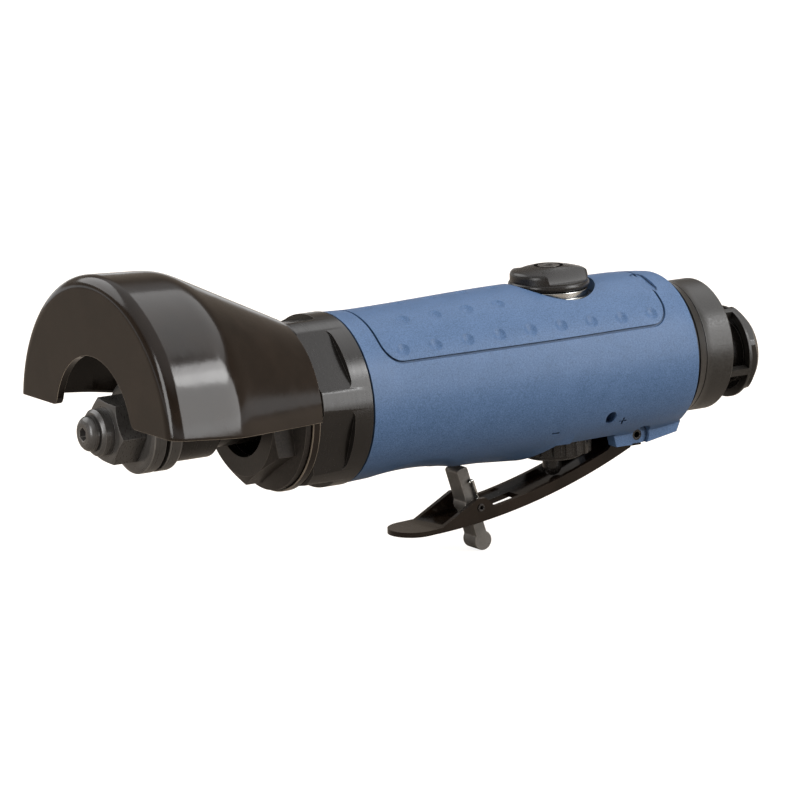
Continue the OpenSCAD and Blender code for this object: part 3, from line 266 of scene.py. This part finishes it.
# Phenolic laminate: a matt resin brown, mottled by the cloth in it
phenolic = surface(
    "phenolic_cloth_laminate",
    ("#4f3521", "#6a482e"),
    rough=0.55,
    grain=0.6 * mm,
    relief=0.01 * mm,
    patch=3 * mm,
)
for place in ("front", "rear"):
    dressed(ground, *(place + "_bearing_" + part for part in ("outer", "inner", "balls")))
    dressed(iron, place + "_end_plate")
dressed(iron, "motor_cylinder", "rotor")
dressed(phenolic, "rotor_vanes")

# Grip housing: one moulding of blue glass-filled nylon with a panel line, thumb dimples, the
# regulator's bay and the lever's lugs. It is clamped between collar and rear cap, and its ends stop
# a little short of them, which leaves a dark seam at each, darkened further by painted shade.
grip_low, grip_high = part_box("grip_housing")
grip_front_seam = 0.7 * mm
grip_rear_seam = 1 * mm
grip_end_reach = 0.03 * mm
grip_edge = 0.25 * mm

# Glass-filled nylon: a matt blue with a moulded grain that catches the light in specks. The grain is
# drawn as coarse as it needs to be to show.
composite = surface(
    "blue_glass_filled_nylon",
    ("#3a5372", "#577094"),
    rough=0.45,
    grain=0.36 * mm,
    relief=0.03 * mm,
    gloss=1.33,
    patch=6 * mm,
    speckle=0.85,
)
grip = joined("grip", "grip_housing")
for corner in grip.data.vertices:
    if corner.co.x - grip_low.x < grip_end_reach:
        corner.co.x += grip_front_seam
    if grip_high.x - corner.co.x < grip_end_reach:
        corner.co.x -= grip_rear_seam
rounded(grip, grip_edge, steps=2)
settled(grip, composite, "tool_body", "composite_blue", "grip_housing")

# Selector: a moulded black knob, a domed bar with a hollow on each side for finger and thumb. It
# stands on a bright turned seat and is screwed to the reversing spool below it.
knob_low, knob_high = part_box("selector_knob")
knob_middle = (knob_low + knob_high) / 2
knob_height = knob_high.z - knob_low.z
knob_lip = 0.5 * mm
knob_lip_height = 1.7 * mm
knob_radius = (knob_high.x - knob_low.x) / 2 - knob_lip
knob_edge = 0.9 * mm
knob_hole = 1.5 * mm
knob_recess = 4.1 * mm
knob_recess_depth = 2.2 * mm
knob_recess_draft = 0.1 * mm
knob_steps = 360
crown_radius = 34 * mm
bar_half = 4.6 * mm
hollow_width = 4.6 * mm
hollow_shelf = 2 * mm
hollow_sag = 1.6
hollow_front = -6.2 * mm
hollow_turn = 0.5 * mm
seat_edge = 0.3 * mm
knob_screw_edge = 0.15 * mm


def lathe(name, outline, place, steps):
    """Turns an outline about the axis of place. Outline gives the closed (radius, height) points at
    an angle."""
    shape = bmesh.new()
    rings = []
    for i in range(steps):
        angle = 2 * math.pi * i / steps
        spots = [(r * math.cos(angle), r * math.sin(angle), h) for r, h in outline(angle)]
        rings.append([shape.verts.new(place @ Vector(spot)) for spot in spots])
    for i, ring in enumerate(rings):
        ahead = rings[(i + 1) % steps]
        for j in range(len(ring)):
            k = (j + 1) % len(ring)
            shape.faces.new((ring[j], ahead[j], ahead[k], ring[k]))
    bmesh.ops.recalc_face_normals(shape, faces=shape.faces)
    mesh = bpy.data.meshes.new(name)
    shape.to_mesh(mesh)
    shape.free()
    return linked(name, mesh)


def eased(share):
    """A share between 0 and 1 with soft ends."""
    share = min(max(share, 0), 1)
    return share * share * (3 - 2 * share)


def knob_top(x, y):
    """Height of the knob over its foot."""
    reach = math.hypot(x, y)
    over_edge = max(knob_edge - knob_radius + reach, 0)
    rounding = knob_edge - math.sqrt(max(knob_edge**2 - over_edge**2, 0))
    dome = knob_height - reach**2 / 2 / crown_radius - rounding
    aside = min(max((abs(y) - bar_half) / hollow_width, 0), 1)
    hollow = hollow_shelf + (dome - hollow_shelf) * (1 - aside) ** hollow_sag
    return dome + (hollow - dome) * eased((x - hollow_front) / hollow_turn)


def knob_outline(angle):
    """The knob's section at an angle, from its hole over the top, down the side and back below."""
    top_steps = 90
    side_steps = 5
    lip_steps = 8
    recess_floor = knob_height - knob_recess_depth
    points = [(knob_hole, recess_floor), (knob_recess - knob_recess_draft, recess_floor)]
    for i in range(top_steps + 1):
        reach = knob_recess + (knob_radius - knob_recess) * i / top_steps
        points.append((reach, knob_top(reach * math.cos(angle), reach * math.sin(angle))))
    rim = points[-1][1]
    for i in range(1, side_steps):
        points.append((knob_radius, rim + (knob_lip_height - rim) * i / side_steps))
    half = knob_lip_height / 2
    for i in range(lip_steps + 1):
        turn = math.pi * (0.5 - i / lip_steps)
        points.append((knob_radius + knob_lip * math.cos(turn), half + half * math.sin(turn)))
    return points + [(knob_hole, 0)]


# Bright turned steel: it mirrors its surroundings, a little softly
bright = surface(
    "bright_turned_steel",
    ("#a5a6a4", "#c0c1bf"),
    rough=0.2,
    grain=0.4 * mm,
    relief=0.003 * mm,
    metal=1.0,
)
# Moulded plastic: a soft black with a fine stipple and a broad sheen
moulded = surface(
    "black_moulded_plastic",
    ("#181614", "#221f1d"),
    rough=0.28,
    grain=0.35 * mm,
    relief=0.008 * mm,
    gloss=1.42,
)
softened("seat", "selector_seat", seat_edge, bright, "tool_body", "bright_steel", steps=3)
foot = Vector((knob_middle.x, knob_middle.y, knob_low.z))
knob = lathe("knob", knob_outline, Matrix.Translation(foot), knob_steps)
settled(knob, moulded, "selector", "black_plastic", "selector_knob")
softened("knob_screw", "selector_screw", knob_screw_edge, blacked, "selector", "black_oxide_steel")
dressed(bright, "selector_spool")

# Throttle valve and regulator: a turned bushing pressed into the grip, the stem that the lever
# pushes, its coil spring, and the fluted speed knob under the grip with its clip.
spring_low, spring_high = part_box("valve_spring")
valve_middle = (spring_low + spring_high) / 2
valve_wire = 0.9 * mm
valve_turns = 4.5
regulator_edge = 0.3 * mm
valve_edge = 0.2 * mm
clip_edge = 0.1 * mm

# a wire with any number of sides, wound upwards from the origin
turn_steps = 40
wound_inputs = {
    "Radius": "Float",
    "Height": "Float",
    "Turns": "Float",
    "Wire": "Float",
    "Sides": "Int",
    "Finish": "Material",
}
wound_tree = bpy.data.node_groups.new("wound_wire", "GeometryNodeTree")
wound_tree.interface.new_socket("Geometry", in_out="OUTPUT", socket_type="NodeSocketGeometry")
for name, kind in wound_inputs.items():
    wound_tree.interface.new_socket(name, in_out="INPUT", socket_type="NodeSocket" + kind)
given = add(wound_tree, "NodeGroupInput").outputs
winding = {
    "Resolution": turn_steps,
    "Rotations": given["Turns"],
    "Start Radius": given["Radius"],
    "End Radius": given["Radius"],
    "Height": given["Height"],
}
path = add(wound_tree, "GeometryNodeCurveSpiral", winding).outputs[0]
half_wire = add(wound_tree, "ShaderNodeMath", {0: given["Wire"], 1: 0.5}, operation="MULTIPLY").outputs[0]
circle = {"Resolution": given["Sides"], "Radius": half_wire}
section = add(wound_tree, "GeometryNodeCurvePrimitiveCircle", circle).outputs[0]
sweep = {"Curve": path, "Profile Curve": section, "Fill Caps": True}
swept = add(wound_tree, "GeometryNodeCurveToMesh", sweep).outputs[0]
real = add(wound_tree, "GeometryNodeRealizeInstances", {0: swept}).outputs[0]
coat = {"Geometry": real, "Material": given["Finish"]}
coated = add(wound_tree, "GeometryNodeSetMaterial", coat).outputs[0]
add(wound_tree, "NodeGroupOutput", {0: coated})


def grown(name, tree, values):
    """A piece that a node tree makes from values, as plain mesh."""
    piece = linked(name, bpy.data.meshes.new(name))
    maker = piece.modifiers.new(name, "NODES")
    maker.node_group = tree
    for socket in tree.interface.items_tree:
        if socket.in_out == "INPUT":
            maker[socket.identifier] = values[socket.name]
    plain(piece)
    return piece


valve_spring = grown(
    "coil_spring",
    wound_tree,
    {
        "Radius": (spring_high.y - spring_low.y - valve_wire) / 2,
        "Height": spring_high.z - spring_low.z - valve_wire,
        "Turns": valve_turns,
        "Wire": valve_wire,
        "Sides": 12,
        "Finish": bright,
    },
)
spring_foot = Vector((valve_middle.x, valve_middle.y, spring_low.z + valve_wire / 2))
valve_spring.data.transform(Matrix.Translation(spring_foot))
settled(valve_spring, bright, "tool_body", "spring_steel", "valve_spring")
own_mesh(valve_spring)
softened("regulator", "regulator_knob", regulator_edge, moulded, "regulator", "black_plastic", steps=3)
softened("stem", "valve_stem", valve_edge, blacked, "valve", "black_oxide_steel")
softened("bushing", "valve_bushing", valve_edge, blacked, "tool_body", "black_oxide_steel")
softened("clip", "regulator_clip", clip_edge, blacked, "tool_body", "black_oxide_steel")

# Throttle lever: a channel stamped from steel sheet along a gentle curve, blacked and lacquered. It
# swings on a rolled steel pin in the grip's lugs.
lever_low, lever_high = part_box("throttle_lever")
lever_radius = 180 * mm
lever_low_x = 75.55 * mm
lever_wall_x = 84 * mm
lever_bend = 1.6 * mm
lever_edge = 0.35 * mm
hinge_pin_edge = 0.25 * mm


def weigh(piece, chosen):
    """Gives the edges whose two ends are chosen the weight that a weighted rounding goes by."""
    shape = bmesh.new()
    shape.from_mesh(piece.data)
    weight = shape.edges.layers.float.new("bevel_weight_edge")
    for edge in shape.edges:
        edge[weight] = float(all(chosen(corner.co) for corner in edge.verts))
    shape.to_mesh(piece.data)
    shape.free()


def on_lever_bend(point):
    """Whether a point lies where the lever's underside meets a side wall."""
    side_reach = 0.02 * mm
    under_reach = 0.1 * mm
    under = lever_low.z + lever_radius - math.sqrt(lever_radius**2 - (point.x - lever_low_x) ** 2)
    on_side = abs(abs(point.y) - lever_high.y) < side_reach
    return on_side and abs(point.z - under) < under_reach and point.x > lever_wall_x


# Lacquered steel: brown-black and glossy, with the slow waves of a drawn sheet in its reflections
lacquered = surface(
    "lacquered_dark_steel",
    ("#150f0a", "#211913"),
    rough=0.14,
    grain=6 * mm,
    relief=0.045 * mm,
    gloss=1.38,
    patch=14 * mm,
    # edge tone: partly wear, partly a painted highlight on rounded edges
    wear_and_highlight_tone="#a39584",
)
lever = joined("lever", "throttle_lever")
weigh(lever, on_lever_bend)
rounded(lever, lever_bend, steps=4, limit="WEIGHT")
plain(lever)
rounded(lever, lever_edge, steps=3)
settled(lever, lacquered, "lever", "guard_steel", "throttle_lever")
softened("hinge_pin", "lever_pin", hinge_pin_edge, blacked, "tool_body", "black_oxide_steel", steps=3)

# Safety lock: a sintered arm with a drum-shaped paddle on a rolled pin in the lever's ears. A wire
# spring, wound on the pin, holds it forward. Its long leg runs up the arm and hooks over it.
lock_edge = 0.3 * mm
lock_pin_edge = 0.2 * mm
lock_at = Vector((99.05 * mm, 0, -35 * mm))
lock_lean = math.radians(-17.5)
lock_wire = 0.8 * mm
lock_coil = 1.75 * mm
lock_turns = 2
lock_aside = -3.75 * mm
lock_pitch = 1.25 * mm
lock_leg = 7 * mm
lock_hook = 0.9 * mm
lock_tail_x = 1.61 * mm
lock_tail_z = -1.38 * mm
lock_steps = 16


def wire(name, points, thickness):
    """A round wire through points."""
    path = bpy.data.curves.new(name, "CURVE")
    path.dimensions = "3D"
    path.bevel_depth = thickness / 2
    path.bevel_resolution = 4
    path.use_fill_caps = True
    spline = path.splines.new("POLY")
    spline.points.add(len(points) - 1)
    for spot, point in zip(spline.points, points):
        spot.co = (*point, 1)
    source = bpy.data.objects.new(name, path)
    bpy.context.scene.collection.objects.link(source)
    mesh = bpy.data.meshes.new_from_object(source.evaluated_get(bpy.context.evaluated_depsgraph_get()))
    bpy.data.objects.remove(source)
    return linked(name, mesh)


# Sintered steel: a warm grey with the open grain of pressed powder
sintered = surface(
    "sintered_steel",
    ("#524f4b", "#68645f"),
    rough=0.45,
    grain=0.4 * mm,
    relief=0.012 * mm,
    metal=0.35,
    patch=2.5 * mm,
    # edge tone: partly wear, partly a painted highlight on rounded edges
    wear_and_highlight_tone="#86817b",
)
softened("lock", "safety_lock", lock_edge, sintered, "lock", "lock_steel", steps=3)
softened("lock_axle", "lock_pin", lock_pin_edge, blacked, "lever", "black_oxide_steel", steps=3)
lock_path = []
for i in range(lock_steps + 1):
    turn = math.pi * i / lock_steps
    across = lock_coil - lock_hook / 2 - lock_hook / 2 * math.cos(turn)
    lock_path.append((across, lock_aside, lock_leg - lock_hook / 2 + lock_hook / 2 * math.sin(turn)))
for i in range(lock_steps * lock_turns + 1):
    turn = 2 * math.pi * i / lock_steps
    aside = lock_aside - lock_pitch * i / lock_steps
    lock_path.append((lock_coil * math.cos(turn), aside, -lock_coil * math.sin(turn)))
lock_path.append((lock_coil + lock_tail_x, lock_aside - lock_pitch * lock_turns, lock_tail_z))
lock_spring = wire("lock_wire", lock_path, lock_wire)
lock_spring.data.transform(Matrix.Translation(lock_at) @ Matrix.Rotation(lock_lean, 4, "Y"))
settled(lock_spring, bright, "lock", "spring_steel", "lock_spring")

# Rear end: a flared end cap behind the grip and a cage of ribs round the exhaust, both moulded of
# dark nylon, with a ring of felt inside the cap that quietens the air on its way out.
cap_edge = 0.12 * mm
cage_edge = 0.3 * mm

# Moulded nylon: a dark grey with a leathery grain and a low, broad sheen
nylon = surface(
    "dark_moulded_nylon",
    ("#1a1816", "#2e2c29"),
    rough=0.38,
    grain=0.55 * mm,
    relief=0.014 * mm,
    gloss=1.45,
    speckle=0.75,
)
# Pressed felt: a matt, fibrous grey without any sheen
felt = surface(
    "pressed_felt",
    ("#5f5c54", "#7a766c"),
    rough=0.9,
    grain=0.3 * mm,
    relief=0.08 * mm,
    patch=2 * mm,
)
softened("cap", "rear_cap", cap_edge, nylon, "tool_body", "black_plastic", steps=3)
softened("cage", "exhaust_cage", cage_edge, nylon, "tool_body", "black_plastic")
dressed(felt, "exhaust_silencer")

# Air inlet: a steel bushing with a hexagon head, turned and blacked, that goes through cage and cap
# into the grip. Its bore is tapped for a hose fitting, and a strainer of brass gauze sits inside.
inlet_low, inlet_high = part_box("inlet_bushing")
inlet_middle = (inlet_low + inlet_high) / 2
inlet_edge = 0.3 * mm
thread_radius = 5.7 * mm
thread_length = 12.6 * mm
thread_pitch = 1.4 * mm
thread_ridge = 0.9 * mm

# Brass gauze: a warm dull yellow, broken up by its wires
gauze = surface(
    "brass_gauze",
    ("#8d7846", "#a88f57"),
    rough=0.35,
    grain=0.3 * mm,
    relief=0.02 * mm,
    metal=0.9,
    patch=2 * mm,
)
softened("inlet", "inlet_bushing", inlet_edge, blacked, "tool_body", "black_oxide_steel", steps=3)
thread = grown(
    "inlet_thread",
    wound_tree,
    {
        "Radius": thread_radius,
        "Height": thread_length,
        "Turns": thread_length / thread_pitch,
        "Wire": thread_ridge,
        "Sides": 3,
        "Finish": blacked,
    },
)
mouth = Vector((inlet_high.x - thread_length - thread_ridge, inlet_middle.y, inlet_middle.z))
thread.data.transform(Matrix.Translation(mouth) @ Matrix.Rotation(math.pi / 2, 4, "Y"))
settled(thread, blacked, "tool_body", "black_oxide_steel")
dressed(gauze, "inlet_screen")

# Guard: a half drum with an arch cut for the wheel, that tapers to a ring on the collar's nose. It
# is deep drawn from steel sheet, so every bend is soft, then blacked and lacquered.
guard_low, guard_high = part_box("guard")
guard_wall = 2 * mm
guard_edge = 0.5 * mm
guard_edge_angle = 50
guard_rows = 190
guard_columns = 151
guard_sizes = {
    "front": guard_low.x,
    "rear": guard_high.x,
    "drum": guard_high.y,
    "edge": 3.6 * mm,
    "arch": 20.2 * mm,
    "taper": 3.2 * mm,
    "rear_radius": 23.7 * mm,
    "bend": 2 * mm,
    "draft": 0.055,
    "foot_front": 4.3 * mm,
    "foot_rear": -0.8 * mm,
    "corner": 1.6 * mm,
}
# Each rule is a result, an operation and its terms. They start from u, which runs from -0.5 to 0.5
# along the sheet, and v, which runs from -1 to 1 round it, and end with the point's x, y and z.
guard_rules = (
    # outwards from the arch over the flat front, round its edge and straight back
    ("flat", "SUBTRACT", "drum", "edge"),
    ("flat", "SUBTRACT", "flat", "arch"),
    ("round", "MULTIPLY", "edge", math.pi / 2),
    ("back", "SUBTRACT", "rear", "front"),
    ("back", "SUBTRACT", "back", "edge"),
    ("length", "ADD", "flat", "round"),
    ("length", "ADD", "length", "back"),
    ("walk", "ADD", "u", 0.5),
    ("walk", "MULTIPLY", "walk", "length"),
    ("past_flat", "SUBTRACT", "walk", "flat"),
    ("turn", "DIVIDE", "past_flat", "edge"),
    ("turn", "MAXIMUM", "turn", 0.0),
    ("turn", "MINIMUM", "turn", math.pi / 2),
    ("out", "MINIMUM", "walk", "flat"),
    ("sine", "SINE", "turn"),
    ("out", "MULTIPLY_ADD", "sine", "edge", "out"),
    ("radius", "ADD", "out", "arch"),
    ("cosine", "COSINE", "turn"),
    ("sunk", "MULTIPLY", "cosine", "edge"),
    ("past_edge", "SUBTRACT", "past_flat", "round"),
    ("past_edge", "MAXIMUM", "past_edge", 0.0),
    ("x", "ADD", "front", "edge"),
    ("x", "SUBTRACT", "x", "sunk"),
    ("x", "ADD", "x", "past_edge"),
    # the drum narrows a little to the rear, then bends into the taper
    ("drawn_in", "MULTIPLY", "past_edge", "draft"),
    ("radius", "SUBTRACT", "radius", "drawn_in"),
    ("narrowing", "SUBTRACT", "rear_radius", "drum"),
    ("taper_length", "SUBTRACT", "rear", "taper"),
    ("slope", "DIVIDE", "narrowing", "taper_length"),
    ("past_taper", "SUBTRACT", "x", "taper"),
    ("cone", "MULTIPLY_ADD", "slope", "past_taper", "drum"),
    ("radius", "SMOOTH_MIN", "radius", "cone", "bend"),
    # the feet end on a sloping line, with the arch's corners rounded off
    ("fall", "SUBTRACT", "foot_rear", "foot_front"),
    ("reach", "SUBTRACT", "rear", "front"),
    ("fall", "DIVIDE", "fall", "reach"),
    ("past_front", "SUBTRACT", "x", "front"),
    ("foot", "MULTIPLY_ADD", "fall", "past_front", "foot_front"),
    ("inside", "SUBTRACT", "radius", "arch"),
    ("inside", "SUBTRACT", "corner", "inside"),
    ("inside", "MAXIMUM", "inside", 0.0),
    ("inside", "MULTIPLY", "inside", "inside"),
    ("fillet", "MULTIPLY", "corner", "corner"),
    ("fillet", "SUBTRACT", "fillet", "inside"),
    ("fillet", "SQRT", "fillet"),
    ("fillet", "SUBTRACT", "corner", "fillet"),
    ("foot", "ADD", "foot", "fillet"),
    ("stop", "DIVIDE", "foot", "radius"),
    ("stop", "ARCCOSINE", "stop"),
    ("angle", "MULTIPLY", "v", "stop"),
    ("y", "SINE", "angle"),
    ("y", "MULTIPLY", "y", "radius"),
    ("z", "COSINE", "angle"),
    ("z", "MULTIPLY", "z", "radius"),
)
guard_tree = bpy.data.node_groups.new("drawn_guard", "GeometryNodeTree")
guard_tree.interface.new_socket("Geometry", in_out="OUTPUT", socket_type="NodeSocketGeometry")
for name in guard_sizes:
    guard_tree.interface.new_socket(name, in_out="INPUT", socket_type="NodeSocketFloat")
given = add(guard_tree, "NodeGroupInput").outputs
flat_sheet = {"Size X": 1, "Size Y": 2, "Vertices X": guard_rows, "Vertices Y": guard_columns}
grid = add(guard_tree, "GeometryNodeMeshGrid", flat_sheet).outputs[0]
flat_place = add(guard_tree, "GeometryNodeInputPosition").outputs[0]
spot = add(guard_tree, "ShaderNodeSeparateXYZ", {0: flat_place}).outputs
worked_out = {"u": spot[0], "v": spot[1], **{name: given[name] for name in guard_sizes}}
for name, operation, *terms in guard_rules:
    inputs = {i: worked_out.get(term, term) for i, term in enumerate(terms)}
    worked_out[name] = add(guard_tree, "ShaderNodeMath", inputs, operation=operation).outputs[0]
drawn = {i: worked_out[name] for i, name in enumerate("xyz")}
drawn_place = add(guard_tree, "ShaderNodeCombineXYZ", drawn).outputs[0]
move = {"Geometry": grid, "Position": drawn_place}
moved = add(guard_tree, "GeometryNodeSetPosition", move).outputs[0]
real = add(guard_tree, "GeometryNodeRealizeInstances", {0: moved}).outputs[0]
coat = {"Geometry": real, "Material": lacquered}
coated = add(guard_tree, "GeometryNodeSetMaterial", coat).outputs[0]
add(guard_tree, "NodeGroupOutput", {0: coated})
guard = grown("guard_shell", guard_tree, guard_sizes)
sheet = guard.modifiers.new("Sheet thickness", "SOLIDIFY")
sheet.thickness = guard_wall
sheet.offset = -1
plain(guard)
rounded(guard, guard_edge, steps=3, angle=guard_edge_angle)
settled(guard, lacquered, "guard_swivel", "guard_steel", "guard")
ring_front = 36.8 * mm
ring_rear = guard_high.x
ring_bore = 15.56 * mm
ring_rim = 22.8 * mm
ring_edge = 0.3 * mm
ring_steps = 96


def ring_outline(angle):
    """The guard ring's section, the same at every angle."""
    return (ring_bore, ring_front), (ring_rim, ring_front), (ring_rim, ring_rear), (ring_bore, ring_rear)


ring = lathe("guard_ring", ring_outline, Matrix.Rotation(math.pi / 2, 4, "Y"), ring_steps)
rounded(ring, ring_edge, steps=2)
settled(ring, lacquered, "guard_swivel", "guard_steel")

# Guard nut: a hexagon nut with a wide flange that clamps the guard's ring. It is forged, milled
# and phosphated, so it is duller and rougher than the turned pieces.
nut_edge = 0.5 * mm

# Phosphated steel: brown-black and matt, with a coarse crystal grain
phosphated = surface(
    "phosphated_steel",
    ("#1b1816", "#302b27"),
    rough=0.38,
    grain=0.55 * mm,
    relief=0.03 * mm,
    gloss=1.35,
    patch=4 * mm,
    speckle=0.8,
    # edge tone: partly wear, partly a painted highlight on rounded edges
    wear_and_highlight_tone="#6b655e",
)
softened("nut", "guard_nut", nut_edge, phosphated, "tool_body", "black_oxide_steel", steps=3)

# Wheel clamp: the spindle's nose with its wrench flats, two clamping discs, a hexagon with a round
# boss, and the socket screw that draws them together. All are turned or milled from steel.
nose_edge = 0.3 * mm
disc_edge = 0.3 * mm
hexagon_edge = 0.35 * mm
screw_edge = 0.2 * mm

# Neutral phosphated steel: a dark grey that is lighter than the rest, with the cutter's rings in it
dull_steel = surface(
    "neutral_phosphated_steel",
    ("#383634", "#474543"),
    rough=0.3,
    grain=0.6 * mm,
    relief=0.004 * mm,
    gloss=1.6,
    patch=4 * mm,
    speckle=0.2,
    # edge tone: partly wear, partly a painted highlight on rounded edges
    wear_and_highlight_tone="#7b7772",
    pitch=0.4 * mm,
)
softened("spindle_nose", "arbor", nose_edge, blacked, "spindle", "black_oxide_steel")
softened("rear_disc", "inner_flange", disc_edge, dull_steel, "spindle", "black_oxide_steel")
softened("front_disc", "outer_flange", disc_edge, dull_steel, "spindle", "black_oxide_steel")
softened("hexagon", "clamp_nut", hexagon_edge, dull_steel, "spindle", "black_oxide_steel", steps=3)
softened("screw", "wheel_screw", screw_edge, dull_steel, "spindle", "black_oxide_steel", steps=3)

# Floor: pale paper. It is paler to the camera and in mirrors than in the light that it throws back
# at the pieces, and for the camera alone it is lifted to white, with the shadow kept.
floor_half = 3.0
floor_gap = 0.2 * mm
paper_seen = (0.36, 0.31, 0.26, 1)
paper_shaded = (0.2, 0.175, 0.15, 1)
paper_lift = 0.86
corners = [
    (-floor_half, -floor_half),
    (floor_half, -floor_half),
    (floor_half, floor_half),
    (-floor_half, floor_half),
]
paper = bpy.data.meshes.new("floor")
paper.from_pydata([(x, y, cad_low[2] - floor_gap) for x, y in corners], [], [(0, 1, 2, 3)])
floor = linked("floor", paper)
pale = bpy.data.materials.new("pale_paper")
pale.use_nodes = True
tree = pale.node_tree
tree.nodes.clear()
rays = add(tree, "ShaderNodeLightPath").outputs
in_mirrors = {0: rays["Is Glossy Ray"], 1: rays["Is Transmission Ray"]}
mirrored = add(tree, "ShaderNodeMath", in_mirrors).outputs[0]
seen = add(tree, "ShaderNodeMath", {0: rays["Is Camera Ray"], 1: mirrored}, use_clamp=True).outputs[0]
blend = {0: seen, 6: paper_shaded, 7: paper_seen}
tint = add(tree, "ShaderNodeMix", blend, data_type="RGBA").outputs[2]
matte = add(tree, "ShaderNodeBsdfDiffuse", {"Color": tint}).outputs[0]
lifting = {0: rays["Is Camera Ray"], 1: paper_lift}
lift = add(tree, "ShaderNodeMath", lifting, operation="MULTIPLY").outputs[0]
glow = add(tree, "ShaderNodeEmission", {"Strength": lift}).outputs[0]
both = add(tree, "ShaderNodeAddShader", {0: matte, 1: glow}).outputs[0]
add(tree, "ShaderNodeOutputMaterial", {"Surface": both})
paper.materials.append(pale)

# Room: a white strip behind the paper, dim warm walls and a pale ceiling, which give the dark pieces
# something to mirror. It is the same for every kind of ray.
room_light = 1.0
room_layers = {
    # height of the direction, from 0 on the level to 1 straight up, and its share of the room's light
    0.08: (1, 1, 1),
    0.13: (0.3, 0.26, 0.22),
    0.3: (0.28, 0.24, 0.2),
    0.46: (0.16, 0.14, 0.12),
    0.66: (0.75, 0.75, 0.76),
    1.0: (1, 1, 1),
}
room = bpy.data.worlds.new("room")
bpy.context.scene.world = room
room.use_nodes = True
tree = room.node_tree
way = add(tree, "ShaderNodeTexCoord").outputs["Generated"]
height = add(tree, "ShaderNodeSeparateXYZ", {0: way}).outputs[2]
share = add(tree, "ShaderNodeMapRange", {"Value": height, "From Min": -1.0}).outputs[0]
layers = add(tree, "ShaderNodeValToRGB", {0: share})
ramp = layers.color_ramp
while len(ramp.elements) < len(room_layers):
    ramp.elements.new(0.5)
for stop, (level, shade) in zip(ramp.elements, room_layers.items()):
    stop.position = (level + 1) / 2
    stop.color = (*shade, 1)
tree.links.new(layers.outputs[0], tree.nodes["Background"].inputs["Color"])
tree.nodes["Background"].inputs["Strength"].default_value = room_light

# Softboxes: oval lamps at either side, a small bright one as a window, one overhead and one behind.
# A lamp's energy follows from its radiance and its oval's area. The camera doesn't see them.
box_aim = Vector((0.07, 0, 0))
box_distance = 1.3
softboxes = {
    # azimuth from the front and elevation in degrees, width and height in m, radiance
    "right": (40, 15, 0.9, 1.1, 5.4),
    "window": (46, 36, 0.42, 0.34, 11.0),
    "left": (-74, 12, 0.5, 1.2, 7.5),
    "overhead": (95, 50, 1.5, 0.7, 1.4),
    "back": (205, 36, 1.2, 0.9, 2.4),
}
for name, (azimuth, elevation, wide, high, radiance) in softboxes.items():
    lamp = bpy.data.lights.new(name, "AREA")
    lamp.shape = "ELLIPSE"
    lamp.size = wide
    lamp.size_y = high
    lamp.energy = radiance * math.pi * math.pi / 4 * wide * high
    box = bpy.data.objects.new(name, lamp)
    box.visible_camera = False
    turn = math.radians(azimuth)
    tilt = math.radians(elevation)
    away = Vector((math.sin(turn) * math.cos(tilt), -math.cos(turn) * math.cos(tilt), math.sin(tilt)))
    box.location = box_aim + away * box_distance
    box.rotation_euler = away.to_track_quat("Z", "Y").to_euler()
    bpy.context.scene.collection.objects.link(box)

# Camera: the photo's view, from the front left and a little above. A point on the axis, just in front
# of the wheel's seat, falls on its own spot in the picture.
view_turn = math.radians(-32.45)
view_tilt = math.radians(11.47)
view_roll = math.radians(-1.41)
view_distance = 1300 * mm
focal_px = 4979
picture_px = 800
seat = Vector((-3.5 * mm, 0, 0))
seat_px_x = 136.1
seat_px_y = 426.66
level_out = math.cos(view_tilt)
toward = Vector((math.sin(view_turn) * level_out, -math.cos(view_turn) * level_out, math.sin(view_tilt)))
level = Vector((math.cos(view_turn), math.sin(view_turn), 0))
right = level * math.cos(view_roll) + toward.cross(level) * math.sin(view_roll)
up = toward.cross(right)
across = (seat_px_x - picture_px / 2) / focal_px * view_distance
above = (picture_px / 2 - seat_px_y) / focal_px * view_distance
lens = bpy.data.cameras.new("camera")
lens.sensor_width = 36
lens.lens = focal_px / picture_px * lens.sensor_width
camera = bpy.data.objects.new("camera", lens)
camera.matrix_world = Matrix((right, up, toward)).transposed().to_4x4()
camera.location = seat - right * across - up * above + toward * view_distance
bpy.context.scene.collection.objects.link(camera)
bpy.context.scene.camera = camera
bpy.context.scene.view_settings.view_transform = "Standard"
